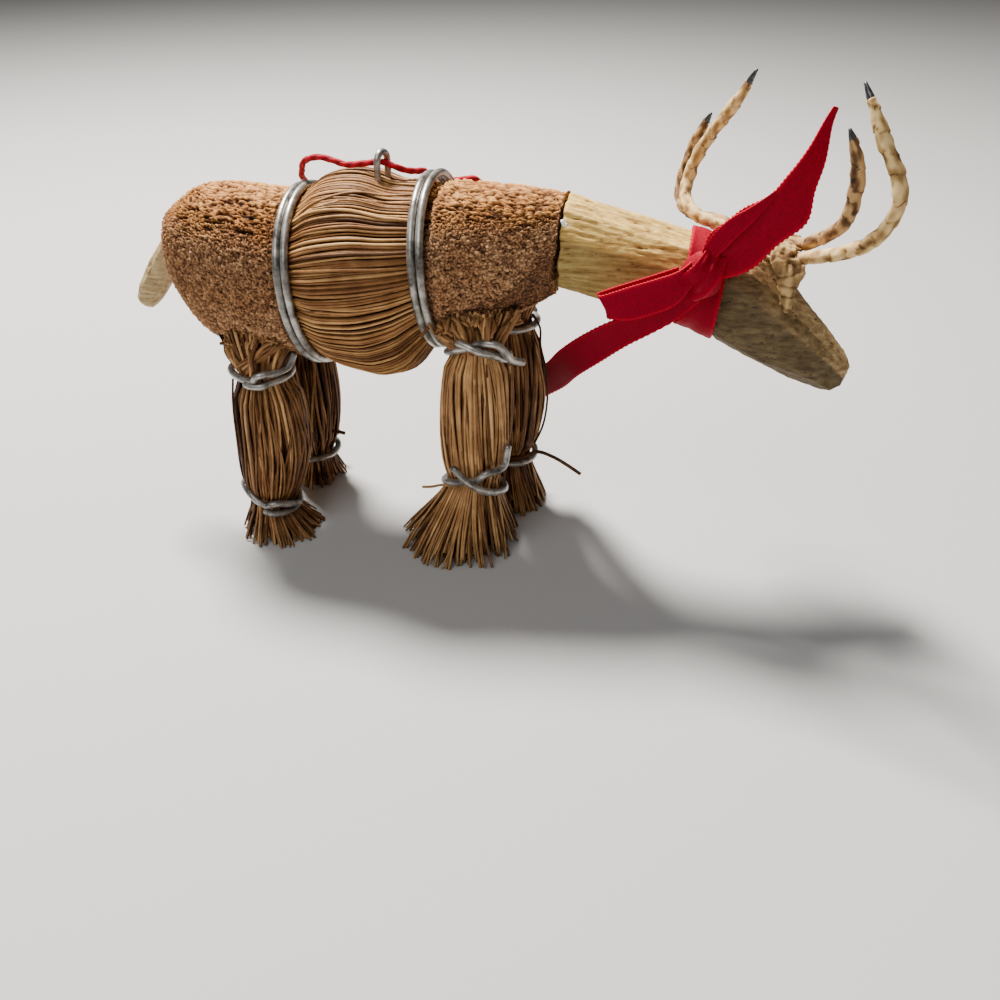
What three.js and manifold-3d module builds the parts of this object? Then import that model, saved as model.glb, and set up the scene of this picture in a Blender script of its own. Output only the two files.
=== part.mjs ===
// A small standing reindeer ornament: a body and four legs of bound straw, a whittled wooden neck, head and
// tail, antlers of bark-wrapped wire, a red ribbon, and a hanging cord through a wire eye.
// Millimetres, +Z up. +X is towards the nose, and +Y is the animal's left side.

import * as THREE from 'three';
import * as BufferGeometryUtils from 'three/addons/utils/BufferGeometryUtils.js';
import Module from 'manifold-3d';

const wasm = await Module();
wasm.setup();

// ---------------------------------------------------------------- driving dimensions

const GAP = 0.3; // left between pieces that touch
const BINDING_WIRE = 1.4; // galvanised wire round the body and the legs
const EYE_WIRE = 1.2;
const ANTLER_WIRE = 1.0;
const BARK_WRAP = 2.1; // an antler over its wrap
const BARK_BORE = 1.44;
const CORD = 1.2;
const RIBBON = 0.9; // a fold of the ribbon

const BODY_SIDES = 24;
const LEG_SIDES = 12;
const WIRE_SIDES = 6;
const CORD_SIDES = 8;

// The body bundle's sections, each: place along x, centre z, half height, half width, lean in degrees,
// and squareness (2 is round).
const BODY = [
  [-44.4, 56.8, 4.6, 4.4, 0, 2.3],
  [-43.2, 56.2, 7.8, 7.4, 0, 2.3],
  [-40.9, 55.4, 10.9, 10.4, 1, 2.3],
  [-37.5, 54.5, 13.4, 12.9, 2, 2.3],
  [-32.5, 53.6, 15.0, 14.8, 4, 2.3],
  [-24, 52.9, 15.5, 15.8, 6, 2.2],
  [-15.5, 52.6, 16.0, 16.1, 7, 2],
  [-11, 53.3, 17.4, 17.6, 7, 2],
  [-6.5, 53.6, 18.4, 18.5, 7, 2],
  [-2, 53.5, 18.6, 18.7, 7, 2],
  [3, 53.9, 16.8, 17.4, 7, 2],
  [8.5, 56.6, 14.8, 15.2, 6, 2],
  [13, 57.6, 14.0, 14.4, 4, 2.2],
  [18, 58.8, 12.6, 13.2, 2, 2.3],
  [24, 60.2, 11.0, 11.6, 0, 2.4],
  [31, 62.0, 8.7, 9.2, -2, 2.4],
];

// The two bindings. The straw is drawn in under them, to a groove of its own height and width, and each
// wire is wound twice round it as a circle. The front one stands off the straw at the top.
const BINDINGS = [
  { name: 'body_binding_rear', s: -15.5, z: 52.6, ring: 16.1, grooveZ: 52.6, high: 15.1, wide: 15.1, slack: 0 },
  { name: 'body_binding_front', s: 8.5, z: 57.0, ring: 15.1, grooveZ: 56.0, high: 12.9, wide: 14.1, slack: 1 },
];
const TURN_PITCH = 1.75;
const GROOVE_FLAT = 1.8;
const GROOVE_SIDE = 1.0;

// A facet cut off each side of the chest below the neck: a point on it, and the way it faces.
const CHEST_FACET = { point: [25.1, -7, 51.1], normal: [0.594, -0.688, -0.416] };

// The legs' sections from the sole up, each: height z, centre x, centre y, radius, lean in degrees. The
// second and fourth are where the ties are.
const LEGS = [
  {
    name: 'right_rear',
    rows: [
      [0, -24.0, -10.4, 8.4, 0],
      [7.0, -26.3, -10.3, 4.6, 12],
      [20, -24.4, -9.8, 7.7, 3],
      [34.8, -25.1, -9.2, 4.4, 0],
      [48, -25.6, -7.6, 6.9, 0],
    ],
  },
  {
    name: 'right_front',
    rows: [
      [0, 12.8, -6.6, 11.4, 0],
      [15.0, 16.5, -8.2, 5.0, -4],
      [29, 17.1, -8.9, 6.9, -2],
      [43.2, 17.8, -8.8, 4.3, 0],
      [56, 17.0, -6.0, 6.3, 0],
    ],
  },
  {
    name: 'left_rear',
    rows: [
      [0, -26.0, 10.6, 7.5, 0],
      [7.4, -25.4, 10.2, 4.6, 0],
      [20, -25.1, 9.8, 7.5, 0],
      [34.6, -25.0, 9.2, 5.4, 0],
      [48, -25.6, 7.6, 6.9, 0],
    ],
  },
  {
    name: 'left_front',
    rows: [
      [0, 21.2, 10.2, 7.2, 0],
      [12.6, 19.7, 9.7, 4.7, 0],
      [26, 20.6, 9.3, 6.8, 0],
      [43.0, 19.4, 8.8, 4.8, 0],
      [56, 17.5, 6.0, 6.3, 0],
    ],
  },
];
const TIE_FLAT = 1.0;
const TIE_SIDE = 0.9;

// How each tie is closed: the direction it faces round its leg in degrees, how far its two ends reach round
// the leg, and whether they turn up (1) or down (-1).
const TIES = {
  right_rear: {
    low: { facing: -80, first: 30, last: 22, turned: 1 },
    high: { facing: -125, first: 34, last: 20, turned: 1 },
  },
  right_front: {
    low: { facing: -72, first: 34, last: 34, turned: 1 },
    high: { facing: -62, first: 44, last: 22, turned: -1 },
  },
  left_rear: {
    low: { facing: 60, first: 26, last: 22, turned: 1 },
    high: { facing: 95, first: 26, last: 22, turned: -1 },
  },
  left_front: {
    low: { facing: 75, first: 26, last: 22, turned: 1 },
    high: { facing: 95, first: 26, last: 22, turned: -1 },
  },
};

// The tail, neck and head: each section is its place along the axis, reach up, reach down and half width.
const TAIL = { root: [-42.0, 0, 59.0], tip: [-53.5, 0, 42.9] };
const TAIL_SECTIONS = [
  [0, 2.9, 2.9, 2.6],
  [9.6, 2.9, 2.8, 2.7],
  [16.2, 2.6, 2.5, 2.4],
  [18.7, 2.0, 1.9, 1.9],
  [19.7, 1.0, 1.0, 1.0],
];
const NECK = { root: [29.4, 0, 62.8], tip: [53.5, 0, 57.5] }; // its root end is fitted to the chest
const NECK_SECTIONS = [
  [0, 8.1, 8.1, 8.0],
  [14, 7.8, 7.8, 7.6],
  [23, 7.5, 7.5, 7.2],
  [24.6, 6.7, 6.7, 6.4],
];
const HEAD = { root: [55.6, 0, 57.8], tip: [80.6, 0, 42.3] };
const HEAD_SECTIONS = [
  [-0.6, 6.3, 5.6, 5.6],
  [3, 8.2, 6.1, 6.3],
  [8.5, 9.6, 6.9, 6.6],
  [14.5, 8.0, 6.4, 5.9],
  [23, 5.8, 5.3, 4.9],
  [28, 4.2, 4.3, 4.1],
  [30.4, 2.7, 2.9, 3.2],
  [31.4, 1.0, 1.4, 1.8],
];

// The antler wires, each from its left tip down, across the head and up to its right tip.
const LONG_ANTLER = [
  [60.2, 12.5, 89.4], [57.3, 14.5, 83.3], [54.5, 16.0, 78.7], [52.1, 16.5, 74.0], [50.9, 16.0, 69.7],
  [50.9, 13.5, 67.4], [52.9, 9.5, 65.9], [57.0, 5.8, 65.4], [61.5, 2.6, 64.6], [66.0, -0.9, 63.9],
  [70.4, -4.0, 63.6], [72.7, -6.0, 64.8], [76.5, -10.0, 67.1], [79.7, -14.0, 70.6], [81.4, -16.0, 74.3],
  [81.7, -17.0, 78.1], [80.7, -16.0, 81.2], [78.6, -15.0, 84.5], [76.9, -14.0, 87.8], [74.4, -12.0, 92.3],
];
const SHORT_ANTLER = [
  [53.6, 22.0, 80.3], [51.6, 23.0, 75.8], [50.7, 23.0, 72.4], [49.8, 22.5, 68.8], [49.6, 21.0, 66.4],
  [50.8, 17.3, 64.6], [53.6, 13.6, 64.2], [57.2, 10.4, 64.6], [60.9, 7.0, 64.6], [64.6, 3.4, 64.7],
  [68.4, 0.3, 64.9], [70.9, -2.0, 65.4], [74.1, -5.0, 68.0], [76.1, -8.5, 71.6], [76.3, -11.0, 76.4],
  [75.9, -12.0, 80.2], [74.7, -12.5, 83.7], [73.5, -12.5, 86.1],
];
const ANTLER_STEPS = 25; // a wrap leaves one of them bare at each end

// The bark strap over the head, from its left lobe to its right one, each: x, y, z and half width.
const STRAP_THICK = 0.9;
const STRAP = [
  [69.4, 6.2, 56.4, 1.1], [69.2, 6.8, 59.4, 1.5], [68.8, 6.9, 62.0, 2.3], [68.4, 5.4, 64.3, 2.7],
  [68.2, 2.4, 65.6, 2.6], [68.2, -1.4, 65.7, 2.6], [68.5, -4.6, 65.0, 2.9], [68.9, -6.5, 62.9, 3.0],
  [69.2, -6.8, 60.2, 1.9], [69.5, -6.6, 57.6, 1.1], [69.7, -6.4, 55.2, 1.0],
];

// The ribbon. Each fold is a strip whose two edges run through matching points.
// The turn round the joint of neck and head, each: x, centre z, half height and half width.
const BAND = [
  [52.3, 57.8, 8.6, 8.5],
  [55.6, 57.0, 8.9, 8.6],
  [58.8, 55.8, 9.0, 8.5],
];
const BAND_LEAN = 5;
const KNOT = { centre: [55.4, -9.8, 61.6], size: [3.4, 3.0, 3.9] };
const RIBBON_LOOP = [
  [[54.2, -11.0, 63.6], [54.6, -11.0, 60.0]],
  [[50.0, -12.0, 62.6], [50.9, -12.0, 56.2]],
  [[45.6, -12.5, 60.5], [46.4, -12.5, 53.6]],
  [[39.2, -12.0, 58.0], [41.6, -12.0, 53.8]],
];
const RIBBON_TAIL_UP = [
  [[55.0, -10.8, 66.0], [56.4, -10.8, 61.6]],
  [[55.8, -10.9, 68.8], [57.6, -10.9, 61.9]],
  [[58.0, -11.2, 71.0], [59.6, -11.2, 62.2]],
  [[60.4, -11.6, 73.4], [63.0, -11.3, 64.0]],
  [[64.0, -11.8, 75.7], [66.4, -11.0, 68.1]],
  [[66.1, -11.6, 78.7], [70.1, -10.6, 71.7]],
  [[67.3, -11.4, 80.6], [70.5, -10.5, 76.5]],
  [[68.6, -11.0, 83.0], [71.2, -10.5, 80.8]],
  [[70.4, -10.3, 87.2], [71.3, -10.2, 86.6]],
];
const RIBBON_TAIL_DOWN = [
  [[54.0, -10.6, 61.6], [56.2, -10.4, 59.4]],
  [[51.6, -10.6, 60.0], [54.8, -10.2, 56.8]],
  [[47.6, -10.0, 56.8], [52.4, -9.4, 53.6]],
  [[40.9, -6.0, 50.9], [45.3, -5.0, 47.3]],
  [[32.6, 0.0, 42.9], [38.7, 0.0, 41.0]],
  [[29.0, 6.0, 37.0], [32.4, 6.4, 33.4]],
  [[26.6, 13.4, 31.0], [27.8, 13.4, 25.0]],
  [[22.6, 18.0, 29.0], [23.6, 18.0, 22.0]],
];

// The hanging eye: a wire staple let into the top of the barrel.
const EYE = { x: -1.6, y: 0, arcZ: 74.0, footZ: 69.0, half: 1.6, turn: 74 };

// The hanging cord, from one side of its knot behind the body, up over the back, through the eye and back
// down to the knot.
const CORD_ROUTE = [
  [-2.6, 19.9, 46.4], [-6.5, 19.9, 47.0], [-11.0, 19.4, 49.4], [-15.4, 18.3, 53.2], [-19.0, 17.3, 57.6],
  [-20.8, 16.0, 61.4], [-21.4, 13.4, 64.8], [-21.0, 10.4, 67.0], [-20.1, 7.4, 68.5], [-18.8, 4.8, 70.2],
  [-17.4, 2.4, 72.2], [-15.6, 1.0, 73.4], [-13.4, 0.6, 73.9], [-10.8, 0.4, 73.5], [-8.4, 0.2, 73.0],
  [-5.2, 0.0, 73.4], [-1.6, 0.0, 73.9], [0.3, 0.2, 73.3], [2.0, 1.4, 72.4], [3.2, 3.6, 71.7],
  [4.0, 6.4, 71.1], [4.2, 9.2, 69.6], [5.2, 11.6, 68.2], [7.6, 12.8, 67.9], [10.2, 11.6, 68.6],
  [12.2, 11.0, 69.0], [14.0, 12.6, 67.0], [14.4, 14.6, 63.6], [13.4, 16.0, 59.6], [11.0, 17.4, 55.4],
  [7.6, 18.6, 51.4], [4.0, 19.5, 48.4], [0.2, 19.9, 46.6],
];

// ---------------------------------------------------------------- closed solids

const rad = THREE.MathUtils.degToRad;

/** A point of three numbers as a vector. */
function at([x, y, z]) {
  return new THREE.Vector3(x, y, z);
}

/** A geometry with position only, its shared vertices merged and its faces pointing out. */
function closed(geometry) {
  geometry.deleteAttribute('normal');
  geometry.deleteAttribute('uv');
  const merged = BufferGeometryUtils.mergeVertices(geometry, 1e-4);
  const index = merged.index.array;
  const p = merged.attributes.position;
  const [a, b, c] = [new THREE.Vector3(), new THREE.Vector3(), new THREE.Vector3()];
  let volume = 0;
  for (let i = 0; i < index.length; i += 3) {
    a.fromBufferAttribute(p, index[i]);
    b.fromBufferAttribute(p, index[i + 1]);
    c.fromBufferAttribute(p, index[i + 2]);
    volume += a.dot(b.cross(c));
  }
  if (volume < 0) {
    for (let i = 0; i < index.length; i += 3) {
      [index[i + 1], index[i + 2]] = [index[i + 2], index[i + 1]];
    }
  }
  return merged;
}

/** A solid through rings of the same number of points, with a flat cap on each end. */
function loft(rings) {
  const count = rings[0].length;
  const points = rings.flat();
  const index = [];
  for (let r = 0; r + 1 < rings.length; r++) {
    for (let k = 0; k < count; k++) {
      const a = r * count + k;
      const b = r * count + ((k + 1) % count);
      index.push(a, b, a + count, b, b + count, a + count);
    }
  }
  for (const [ring, first] of [[rings[0], 0], [rings.at(-1), points.length - count]]) {
    const middle = points.length;
    points.push(ring.reduce((sum, p) => sum.add(p), new THREE.Vector3()).divideScalar(count));
    for (let k = 0; k < count; k++) {
      const [a, b] = [first + k, first + ((k + 1) % count)];
      index.push(...(first === 0 ? [middle, b, a] : [middle, a, b]));
    }
  }
  const geometry = new THREE.BufferGeometry().setFromPoints(points);
  geometry.setIndex(index);
  return closed(geometry);
}

/** A rod of one thickness along a smooth line through the points, with a bore through it if one is given. */
function rod(points, thickness, sides, steps, bore = 0) {
  const round = (path, diameter) => {
    for (let k = 0; k < sides; k++) {
      const angle = (2 * Math.PI * k) / sides;
      const [x, y] = [(Math.cos(angle) * diameter) / 2, (Math.sin(angle) * diameter) / 2];
      if (k === 0) path.moveTo(x, y);
      else path.lineTo(x, y);
    }
    path.closePath();
    return path;
  };
  const section = round(new THREE.Shape(), thickness);
  if (bore > 0) section.holes.push(round(new THREE.Path(), bore));
  const line = new THREE.CatmullRomCurve3(points, false, 'centripetal');
  return closed(new THREE.ExtrudeGeometry(section, { steps, extrudePath: line, curveSegments: 1 }));
}

/** The geometry as a solid that can be joined and cut. */
function solid(geometry) {
  const mesh = new wasm.Mesh({
    numProp: 3,
    vertProperties: new Float32Array(geometry.attributes.position.array),
    triVerts: new Uint32Array(geometry.index.array),
  });
  return new wasm.Manifold(mesh);
}

/** The solid's surface as a geometry. */
function surface(manifold) {
  const mesh = manifold.getMesh();
  const geometry = new THREE.BufferGeometry();
  geometry.setAttribute('position', new THREE.BufferAttribute(new Float32Array(mesh.vertProperties), 3));
  geometry.setIndex(new THREE.BufferAttribute(new Uint32Array(mesh.triVerts), 1));
  return geometry;
}

/** The first geometry with the others cut away from it. */
function cut(geometry, ...tools) {
  return surface(tools.reduce((left, tool) => left.subtract(solid(tool)), solid(geometry)));
}

/** The geometries joined into one. */
function join(...geometries) {
  return surface(geometries.map(solid).reduce((all, next) => all.add(next)));
}

/** The row of a table at a place along it, with every column passing smoothly through its values. */
function rowAt(rows, place) {
  let i = rows.findIndex((row) => row[0] > place) - 1;
  if (i < 0) i = place < rows[0][0] ? 0 : rows.length - 2;
  const [from, to] = [rows[i], rows[i + 1]];
  const [before, after] = [rows[Math.max(i - 1, 0)], rows[Math.min(i + 2, rows.length - 1)]];
  const width = to[0] - from[0];
  const t = THREE.MathUtils.clamp((place - from[0]) / width, 0, 1);
  return from.map((value, column) => {
    const slopeFrom = ((to[column] - before[column]) / (to[0] - before[0])) * width;
    const slopeTo = ((after[column] - value) / (after[0] - from[0])) * width;
    const [t2, t3] = [t * t, t * t * t];
    return (2 * t3 - 3 * t2 + 1) * value + (t3 - 2 * t2 + t) * slopeFrom
      + (3 * t2 - 2 * t3) * to[column] + (t3 - t2) * slopeTo;
  });
}

/** A unit circle's point, drawn out towards a square's corners when the power is over 2. */
function rounded(angle, power) {
  const [c, s] = [Math.cos(angle), Math.sin(angle)];
  const stretch = (v) => Math.sign(v) * Math.abs(v) ** (2 / power);
  return [stretch(c), stretch(s)];
}

/** 1 on a tie or binding, falling to 0 beside it. */
function drawnIn(distance, flat, side) {
  return 1 - THREE.MathUtils.smoothstep(Math.abs(distance), flat, flat + side);
}

/** Places along a bundle: its table's own, the edges of its grooves, and a few between. */
function stations(rows, grooves, flat, side, between) {
  const near = (place) => grooves.some((groove) => Math.abs(place - groove) < flat + side);
  const places = [...rows.map((row) => row[0]), ...between].filter((place) => !near(place));
  const edges = [-flat - side, -flat, flat, flat + side];
  for (const groove of grooves) places.push(...edges.map((edge) => groove + edge));
  return places.sort((a, b) => a - b);
}

// ---------------------------------------------------------------- body bundle

/** The body's section at a place along it, grown by some amount all round. */
function bodySection(s, grow) {
  let [, z, high, wide, lean, power] = rowAt(BODY, s);
  for (const binding of BINDINGS) {
    const share = drawnIn(s - binding.s, GROOVE_FLAT, GROOVE_SIDE);
    z += (binding.grooveZ - z) * share;
    high += (binding.high - high) * share;
    wide += (binding.wide - wide) * share;
    power += (2 - power) * share;
  }
  const points = [];
  for (let k = 0; k < BODY_SIDES; k++) {
    const [y, up] = rounded((2 * Math.PI * k) / BODY_SIDES, power);
    const rise = up * (high + grow);
    points.push(new THREE.Vector3(s - rise * Math.sin(rad(lean)), y * (wide + grow), z + rise * Math.cos(rad(lean))));
  }
  return points;
}

/** The whole bundle, grown by some amount all round. */
function bodyBundle(grow = 0) {
  const grooves = BINDINGS.map((binding) => binding.s);
  const places = stations(BODY, grooves, GROOVE_FLAT, GROOVE_SIDE, [-28.5]);
  const last = places.length - 1;
  return loft(places.map((s, i) => bodySection(s + (i === last ? grow : i === 0 ? -grow : 0), grow)));
}

/** A block whose one face lies on the chest's facet, on the right side (-1) or the left (+1). */
function facetBlock(side) {
  const size = 30;
  const [x, y, z] = CHEST_FACET.normal;
  const normal = new THREE.Vector3(x, -side * y, z).normalize();
  const [px, py, pz] = CHEST_FACET.point;
  const block = new THREE.BoxGeometry(size, size, size);
  block.applyQuaternion(new THREE.Quaternion().setFromUnitVectors(new THREE.Vector3(0, 0, 1), normal));
  const centre = new THREE.Vector3(px, -side * py, pz).addScaledVector(normal, size / 2);
  block.translate(centre.x, centre.y, centre.z);
  return closed(block);
}

/** One binding: two turns side by side, changing over low on the left side. */
function bindingLine({ s, z, ring, slack }) {
  const [turnsFrom, turnsTo, perTurn, startAngle] = [0.05, 1.95, 26, rad(-30)];
  const lean = rad(rowAt(BODY, s)[4]);
  const points = [];
  const steps = Math.round((turnsTo - turnsFrom) * perTurn);
  for (let i = 0; i <= steps; i++) {
    const turn = turnsFrom + ((turnsTo - turnsFrom) * i) / steps;
    const angle = startAngle + turn * 2 * Math.PI;
    const second = THREE.MathUtils.smoothstep(turn, 0.95, 1.05);
    const loose = slack * second * Math.exp(-(((turn - 1.27) / 0.07) ** 2));
    const along = (second - 0.5) * TURN_PITCH + 0.9 * loose;
    const radius = ring + 0.6 * loose;
    const rise = radius * Math.sin(angle);
    points.push(new THREE.Vector3(
      s + along * Math.cos(lean) - rise * Math.sin(lean),
      radius * Math.cos(angle),
      z + along * Math.sin(lean) + rise * Math.cos(lean),
    ));
  }
  return points;
}

// ---------------------------------------------------------------- legs

/** A leg's section at a height, grown by some amount all round. */
function legSection(leg, place, grow = 0, sides = LEG_SIDES) {
  let [, x, y, radius, lean] = rowAt(leg.rows, place);
  for (const tie of [leg.rows[1], leg.rows[3]]) {
    radius += (tie[3] - radius) * drawnIn(place - tie[0], TIE_FLAT, TIE_SIDE);
  }
  const points = [];
  for (let k = 0; k < sides; k++) {
    const angle = (2 * Math.PI * k) / sides;
    const out = (radius + grow) * Math.cos(angle);
    const across = (radius + grow) * Math.sin(angle);
    points.push(new THREE.Vector3(x + out * Math.cos(rad(lean)), y + across, place - out * Math.sin(rad(lean))));
  }
  return points;
}

/** The whole leg bundle before it is fitted under the body. */
function legBundle(leg) {
  const [sole, low, middle, high] = leg.rows.map((row) => row[0]);
  const between = [(sole + low) / 2, (low + middle) / 2, (middle + high) / 2];
  const places = stations(leg.rows, [low, high], TIE_FLAT, TIE_SIDE, between);
  return loft(places.map((place) => legSection(leg, place)));
}

/** A tie: once round the leg, its ends hooked over each other where it faces and bent away. */
function tieLine([z, x, y, radius, lean], { facing, first, last, turned }) {
  const ring = radius + GAP + BINDING_WIRE / 2;
  // each: degrees round from where the tie faces, stand-off, height
  const line = [
    [first, 1.9, 2.3],
    [first / 2, 1.8, 1.6],
    [-5, 1.3, 1.0],
    [-32, 0, 0.4],
    [-75, 0, 0.1],
    [-120, 0, 0],
    [-160, 0, 0],
    [-200, 0, 0],
    [-240, 0, 0],
    [-285, 0, -0.1],
    [-325, 0, -0.5],
    [-352, 0.1, -1.0],
    [-374, 1.2, -1.0],
    [-378 - last / 2, 1.8, -0.3],
    [-378 - last, 2.0, 1.0],
  ];
  return line.map(([turn, off, height]) => {
    const angle = rad(facing + turn);
    const out = (ring + off) * Math.cos(angle);
    const up = height * turned;
    return new THREE.Vector3(
      x + out * Math.cos(rad(lean)) + up * Math.sin(rad(lean)),
      y + (ring + off) * Math.sin(angle),
      z - out * Math.sin(rad(lean)) + up * Math.cos(rad(lean)),
    );
  });
}

// ---------------------------------------------------------------- whittled wood

/** A whittled piece from root to tip: flat-sided sections, each reaching up, down and to the sides. */
function whittled({ root, tip }, sections, sides, power, grow = 0) {
  const forward = at(tip).sub(at(root)).normalize();
  const up = new THREE.Vector3(-forward.z, 0, forward.x);
  const upward = up.z < 0 ? up.negate() : up;
  return loft(sections.map(([along, above, below, half], i) => {
    const end = i === 0 ? -grow : i === sections.length - 1 ? grow : 0;
    const centre = at(root).addScaledVector(forward, along + end);
    const ring = [];
    for (let k = 0; k < sides; k++) {
      const [y, z] = rounded((2 * Math.PI * (k + 0.5)) / sides, power);
      const rise = z * ((z > 0 ? above : below) + grow);
      ring.push(centre.clone().addScaledVector(upward, rise).add(new THREE.Vector3(0, y * (half + grow), 0)));
    }
    return ring;
  }));
}

const tail = (grow) => whittled(TAIL, TAIL_SECTIONS, 8, 2.4, grow);
const neck = (grow) => whittled(NECK, NECK_SECTIONS, 10, 2.3, grow);
const head = (grow) => whittled(HEAD, HEAD_SECTIONS, 12, 2.6, grow);

// ---------------------------------------------------------------- antlers and their strap

/** An antler's line as equal steps from tip to tip. */
function antlerLine(points) {
  return new THREE.CatmullRomCurve3(points.map(at), false, 'centripetal').getSpacedPoints(ANTLER_STEPS);
}

/** A rod over the part of an antler that its wrap covers. */
function wrapped(points, thickness, bore) {
  return rod(antlerLine(points).slice(1, -1), thickness, WIRE_SIDES, ANTLER_STEPS - 2, bore);
}

/** The strap: a strip bent over the head and the wraps, down to a lobe on each side. */
function strap() {
  const wide = new THREE.Vector3(0.97, 0, -0.24);
  const line = new THREE.CatmullRomCurve3(STRAP.map(at), false, 'centripetal');
  const last = STRAP.length - 1;
  const steps = 2 * last;
  const rings = [];
  for (let i = 0; i <= steps; i++) {
    const t = i / steps;
    const outward = new THREE.Vector3().crossVectors(line.getTangent(t), wide).normalize();
    const [before, after] = [STRAP[Math.floor(i / 2)], STRAP[Math.ceil(i / 2)]];
    const half = (before[3] + after[3]) / 2;
    rings.push([[-1, -1], [1, -1], [1, 1], [-1, 1]].map(([a, b]) => line.getPoint(t)
      .addScaledVector(wide, a * half).addScaledVector(outward, (b * STRAP_THICK) / 2)));
  }
  return loft(rings);
}

// ---------------------------------------------------------------- ribbon

/** A fold of ribbon between two edges, of one thickness. */
function fold(edges) {
  const pairs = edges.map(([a, b]) => [at(a), at(b)]);
  return loft(pairs.map(([a, b], i) => {
    const before = pairs[Math.max(i - 1, 0)];
    const after = pairs[Math.min(i + 1, pairs.length - 1)];
    const along = after[0].clone().add(after[1]).sub(before[0]).sub(before[1]);
    const normal = new THREE.Vector3().crossVectors(along, b.clone().sub(a)).normalize();
    const half = RIBBON / 2;
    return [[a, -half], [b, -half], [b, half], [a, half]].map(([p, off]) => p.clone().addScaledVector(normal, off));
  }));
}

/** The ribbon's turn round the joint of neck and head, a short tube. */
function band() {
  const lean = rad(BAND_LEAN);
  const sides = 16;
  const ringAt = ([x, z, high, wide], grow, onward = 0) => {
    const ring = [];
    for (let k = 0; k < sides; k++) {
      const [y, up] = rounded((2 * Math.PI * k) / sides, 2.2);
      const rise = up * (high + grow);
      ring.push(new THREE.Vector3(x + onward + rise * Math.sin(lean), y * (wide + grow), z + rise * Math.cos(lean)));
    }
    return ring;
  };
  const outside = loft(BAND.map((row) => ringAt(row, 0)));
  const inside = loft(BAND.map((row, i) => ringAt(row, -RIBBON, i - 1)));
  return cut(outside, inside);
}

/** The knot, a flattened ball. */
function knot() {
  const ball = new THREE.SphereGeometry(1, 10, 8);
  ball.scale(...KNOT.size);
  ball.translate(...KNOT.centre);
  return closed(ball);
}

// ---------------------------------------------------------------- hanging eye

/** The eye's line: up one leg, over and down the other, with the legs set apart by a margin. */
function eyeLine(footZ) {
  const direction = [Math.cos(rad(EYE.turn)), Math.sin(rad(EYE.turn))];
  const place = (across, z) => new THREE.Vector3(EYE.x + across * direction[0], EYE.y + across * direction[1], z);
  const line = [place(-EYE.half, footZ), place(-EYE.half, (footZ + EYE.arcZ) / 2)];
  for (let i = 0; i <= 6; i++) {
    const angle = Math.PI - (Math.PI * i) / 6;
    line.push(place(EYE.half * Math.cos(angle), EYE.arcZ + EYE.half * Math.sin(angle)));
  }
  return [...line, place(EYE.half, (footZ + EYE.arcZ) / 2), place(EYE.half, footZ)];
}

// ---------------------------------------------------------------- the whole

const MATERIALS = {
  straw: { color: 0x8a5f38, roughness: 0.7, metalness: 0 },
  galvanised_wire: { color: 0x8b8984, roughness: 0.45, metalness: 0.9 },
  dark_wire: { color: 0x3f4043, roughness: 0.55, metalness: 0.8 },
  pale_wood: { color: 0xd2b47e, roughness: 0.65, metalness: 0 },
  grey_wood: { color: 0xa08460, roughness: 0.7, metalness: 0 },
  bark: { color: 0xc0a06c, roughness: 0.75, metalness: 0 },
  ribbon: { color: 0xb01222, roughness: 0.45, metalness: 0 },
  cord: { color: 0xb31a30, roughness: 0.8, metalness: 0 },
};

const group = new THREE.Group();

/** Add one piece to the ornament, with a material of its own. */
function piece(name, geometry, finish) {
  const mesh = new THREE.Mesh(geometry, new THREE.MeshStandardMaterial(MATERIALS[finish]));
  mesh.name = name;
  group.add(mesh);
}

const eyeHoles = rod(eyeLine(EYE.footZ - GAP), EYE_WIRE + 2 * GAP, WIRE_SIDES, 12);
piece('body_bundle', cut(bodyBundle(), facetBlock(-1), facetBlock(1), tail(GAP), eyeHoles), 'straw');
for (const binding of BINDINGS) {
  piece(binding.name, rod(bindingLine(binding), BINDING_WIRE, WIRE_SIDES, 42), 'galvanised_wire');
}

const bodyRoom = bodyBundle(GAP);
for (const leg of LEGS) {
  piece(`leg_${leg.name}`, cut(legBundle(leg), bodyRoom), 'straw');
  for (const [end, row] of [['low', leg.rows[1]], ['high', leg.rows[3]]]) {
    const line = tieLine(row, TIES[leg.name][end]);
    piece(`tie_${leg.name}_${end}`, rod(line, BINDING_WIRE, WIRE_SIDES, 19), 'galvanised_wire');
  }
}

piece('tail_peg', tail(0), 'pale_wood');
piece('neck', cut(neck(0), bodyRoom), 'pale_wood');
piece('head', cut(head(0), neck(GAP)), 'grey_wood');

for (const [name, points] of [['long', LONG_ANTLER], ['short', SHORT_ANTLER]]) {
  piece(`antler_wire_${name}`, rod(antlerLine(points), ANTLER_WIRE, 5, ANTLER_STEPS), 'dark_wire');
  piece(`antler_bark_${name}`, wrapped(points, BARK_WRAP, BARK_BORE), 'bark');
}
const wrapRooms = [LONG_ANTLER, SHORT_ANTLER].map((points) => wrapped(points, BARK_WRAP + 2 * GAP, 0));
piece('head_strap', cut(strap(), head(GAP), ...wrapRooms), 'bark');

const folds = [fold(RIBBON_LOOP), fold(RIBBON_TAIL_UP), fold(RIBBON_TAIL_DOWN)];
piece('ribbon', cut(join(band(), knot(), ...folds), neck(GAP), head(GAP), ...wrapRooms), 'ribbon');

piece('hanging_eye', rod(eyeLine(EYE.footZ), EYE_WIRE, WIRE_SIDES, 12), 'galvanised_wire');
piece('hanging_cord', rod(CORD_ROUTE.map(at), CORD, CORD_SIDES, 46), 'cord');

// The origin is the middle of the ornament's outline on the ground, without its loose cord.
const outline = new THREE.Box3();
for (const mesh of group.children) {
  if (mesh.name !== 'hanging_cord') outline.expandByObject(mesh);
}
const middle = outline.getCenter(new THREE.Vector3());
group.position.set(-middle.x, -middle.y, -outline.min.z);

export default group;
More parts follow.
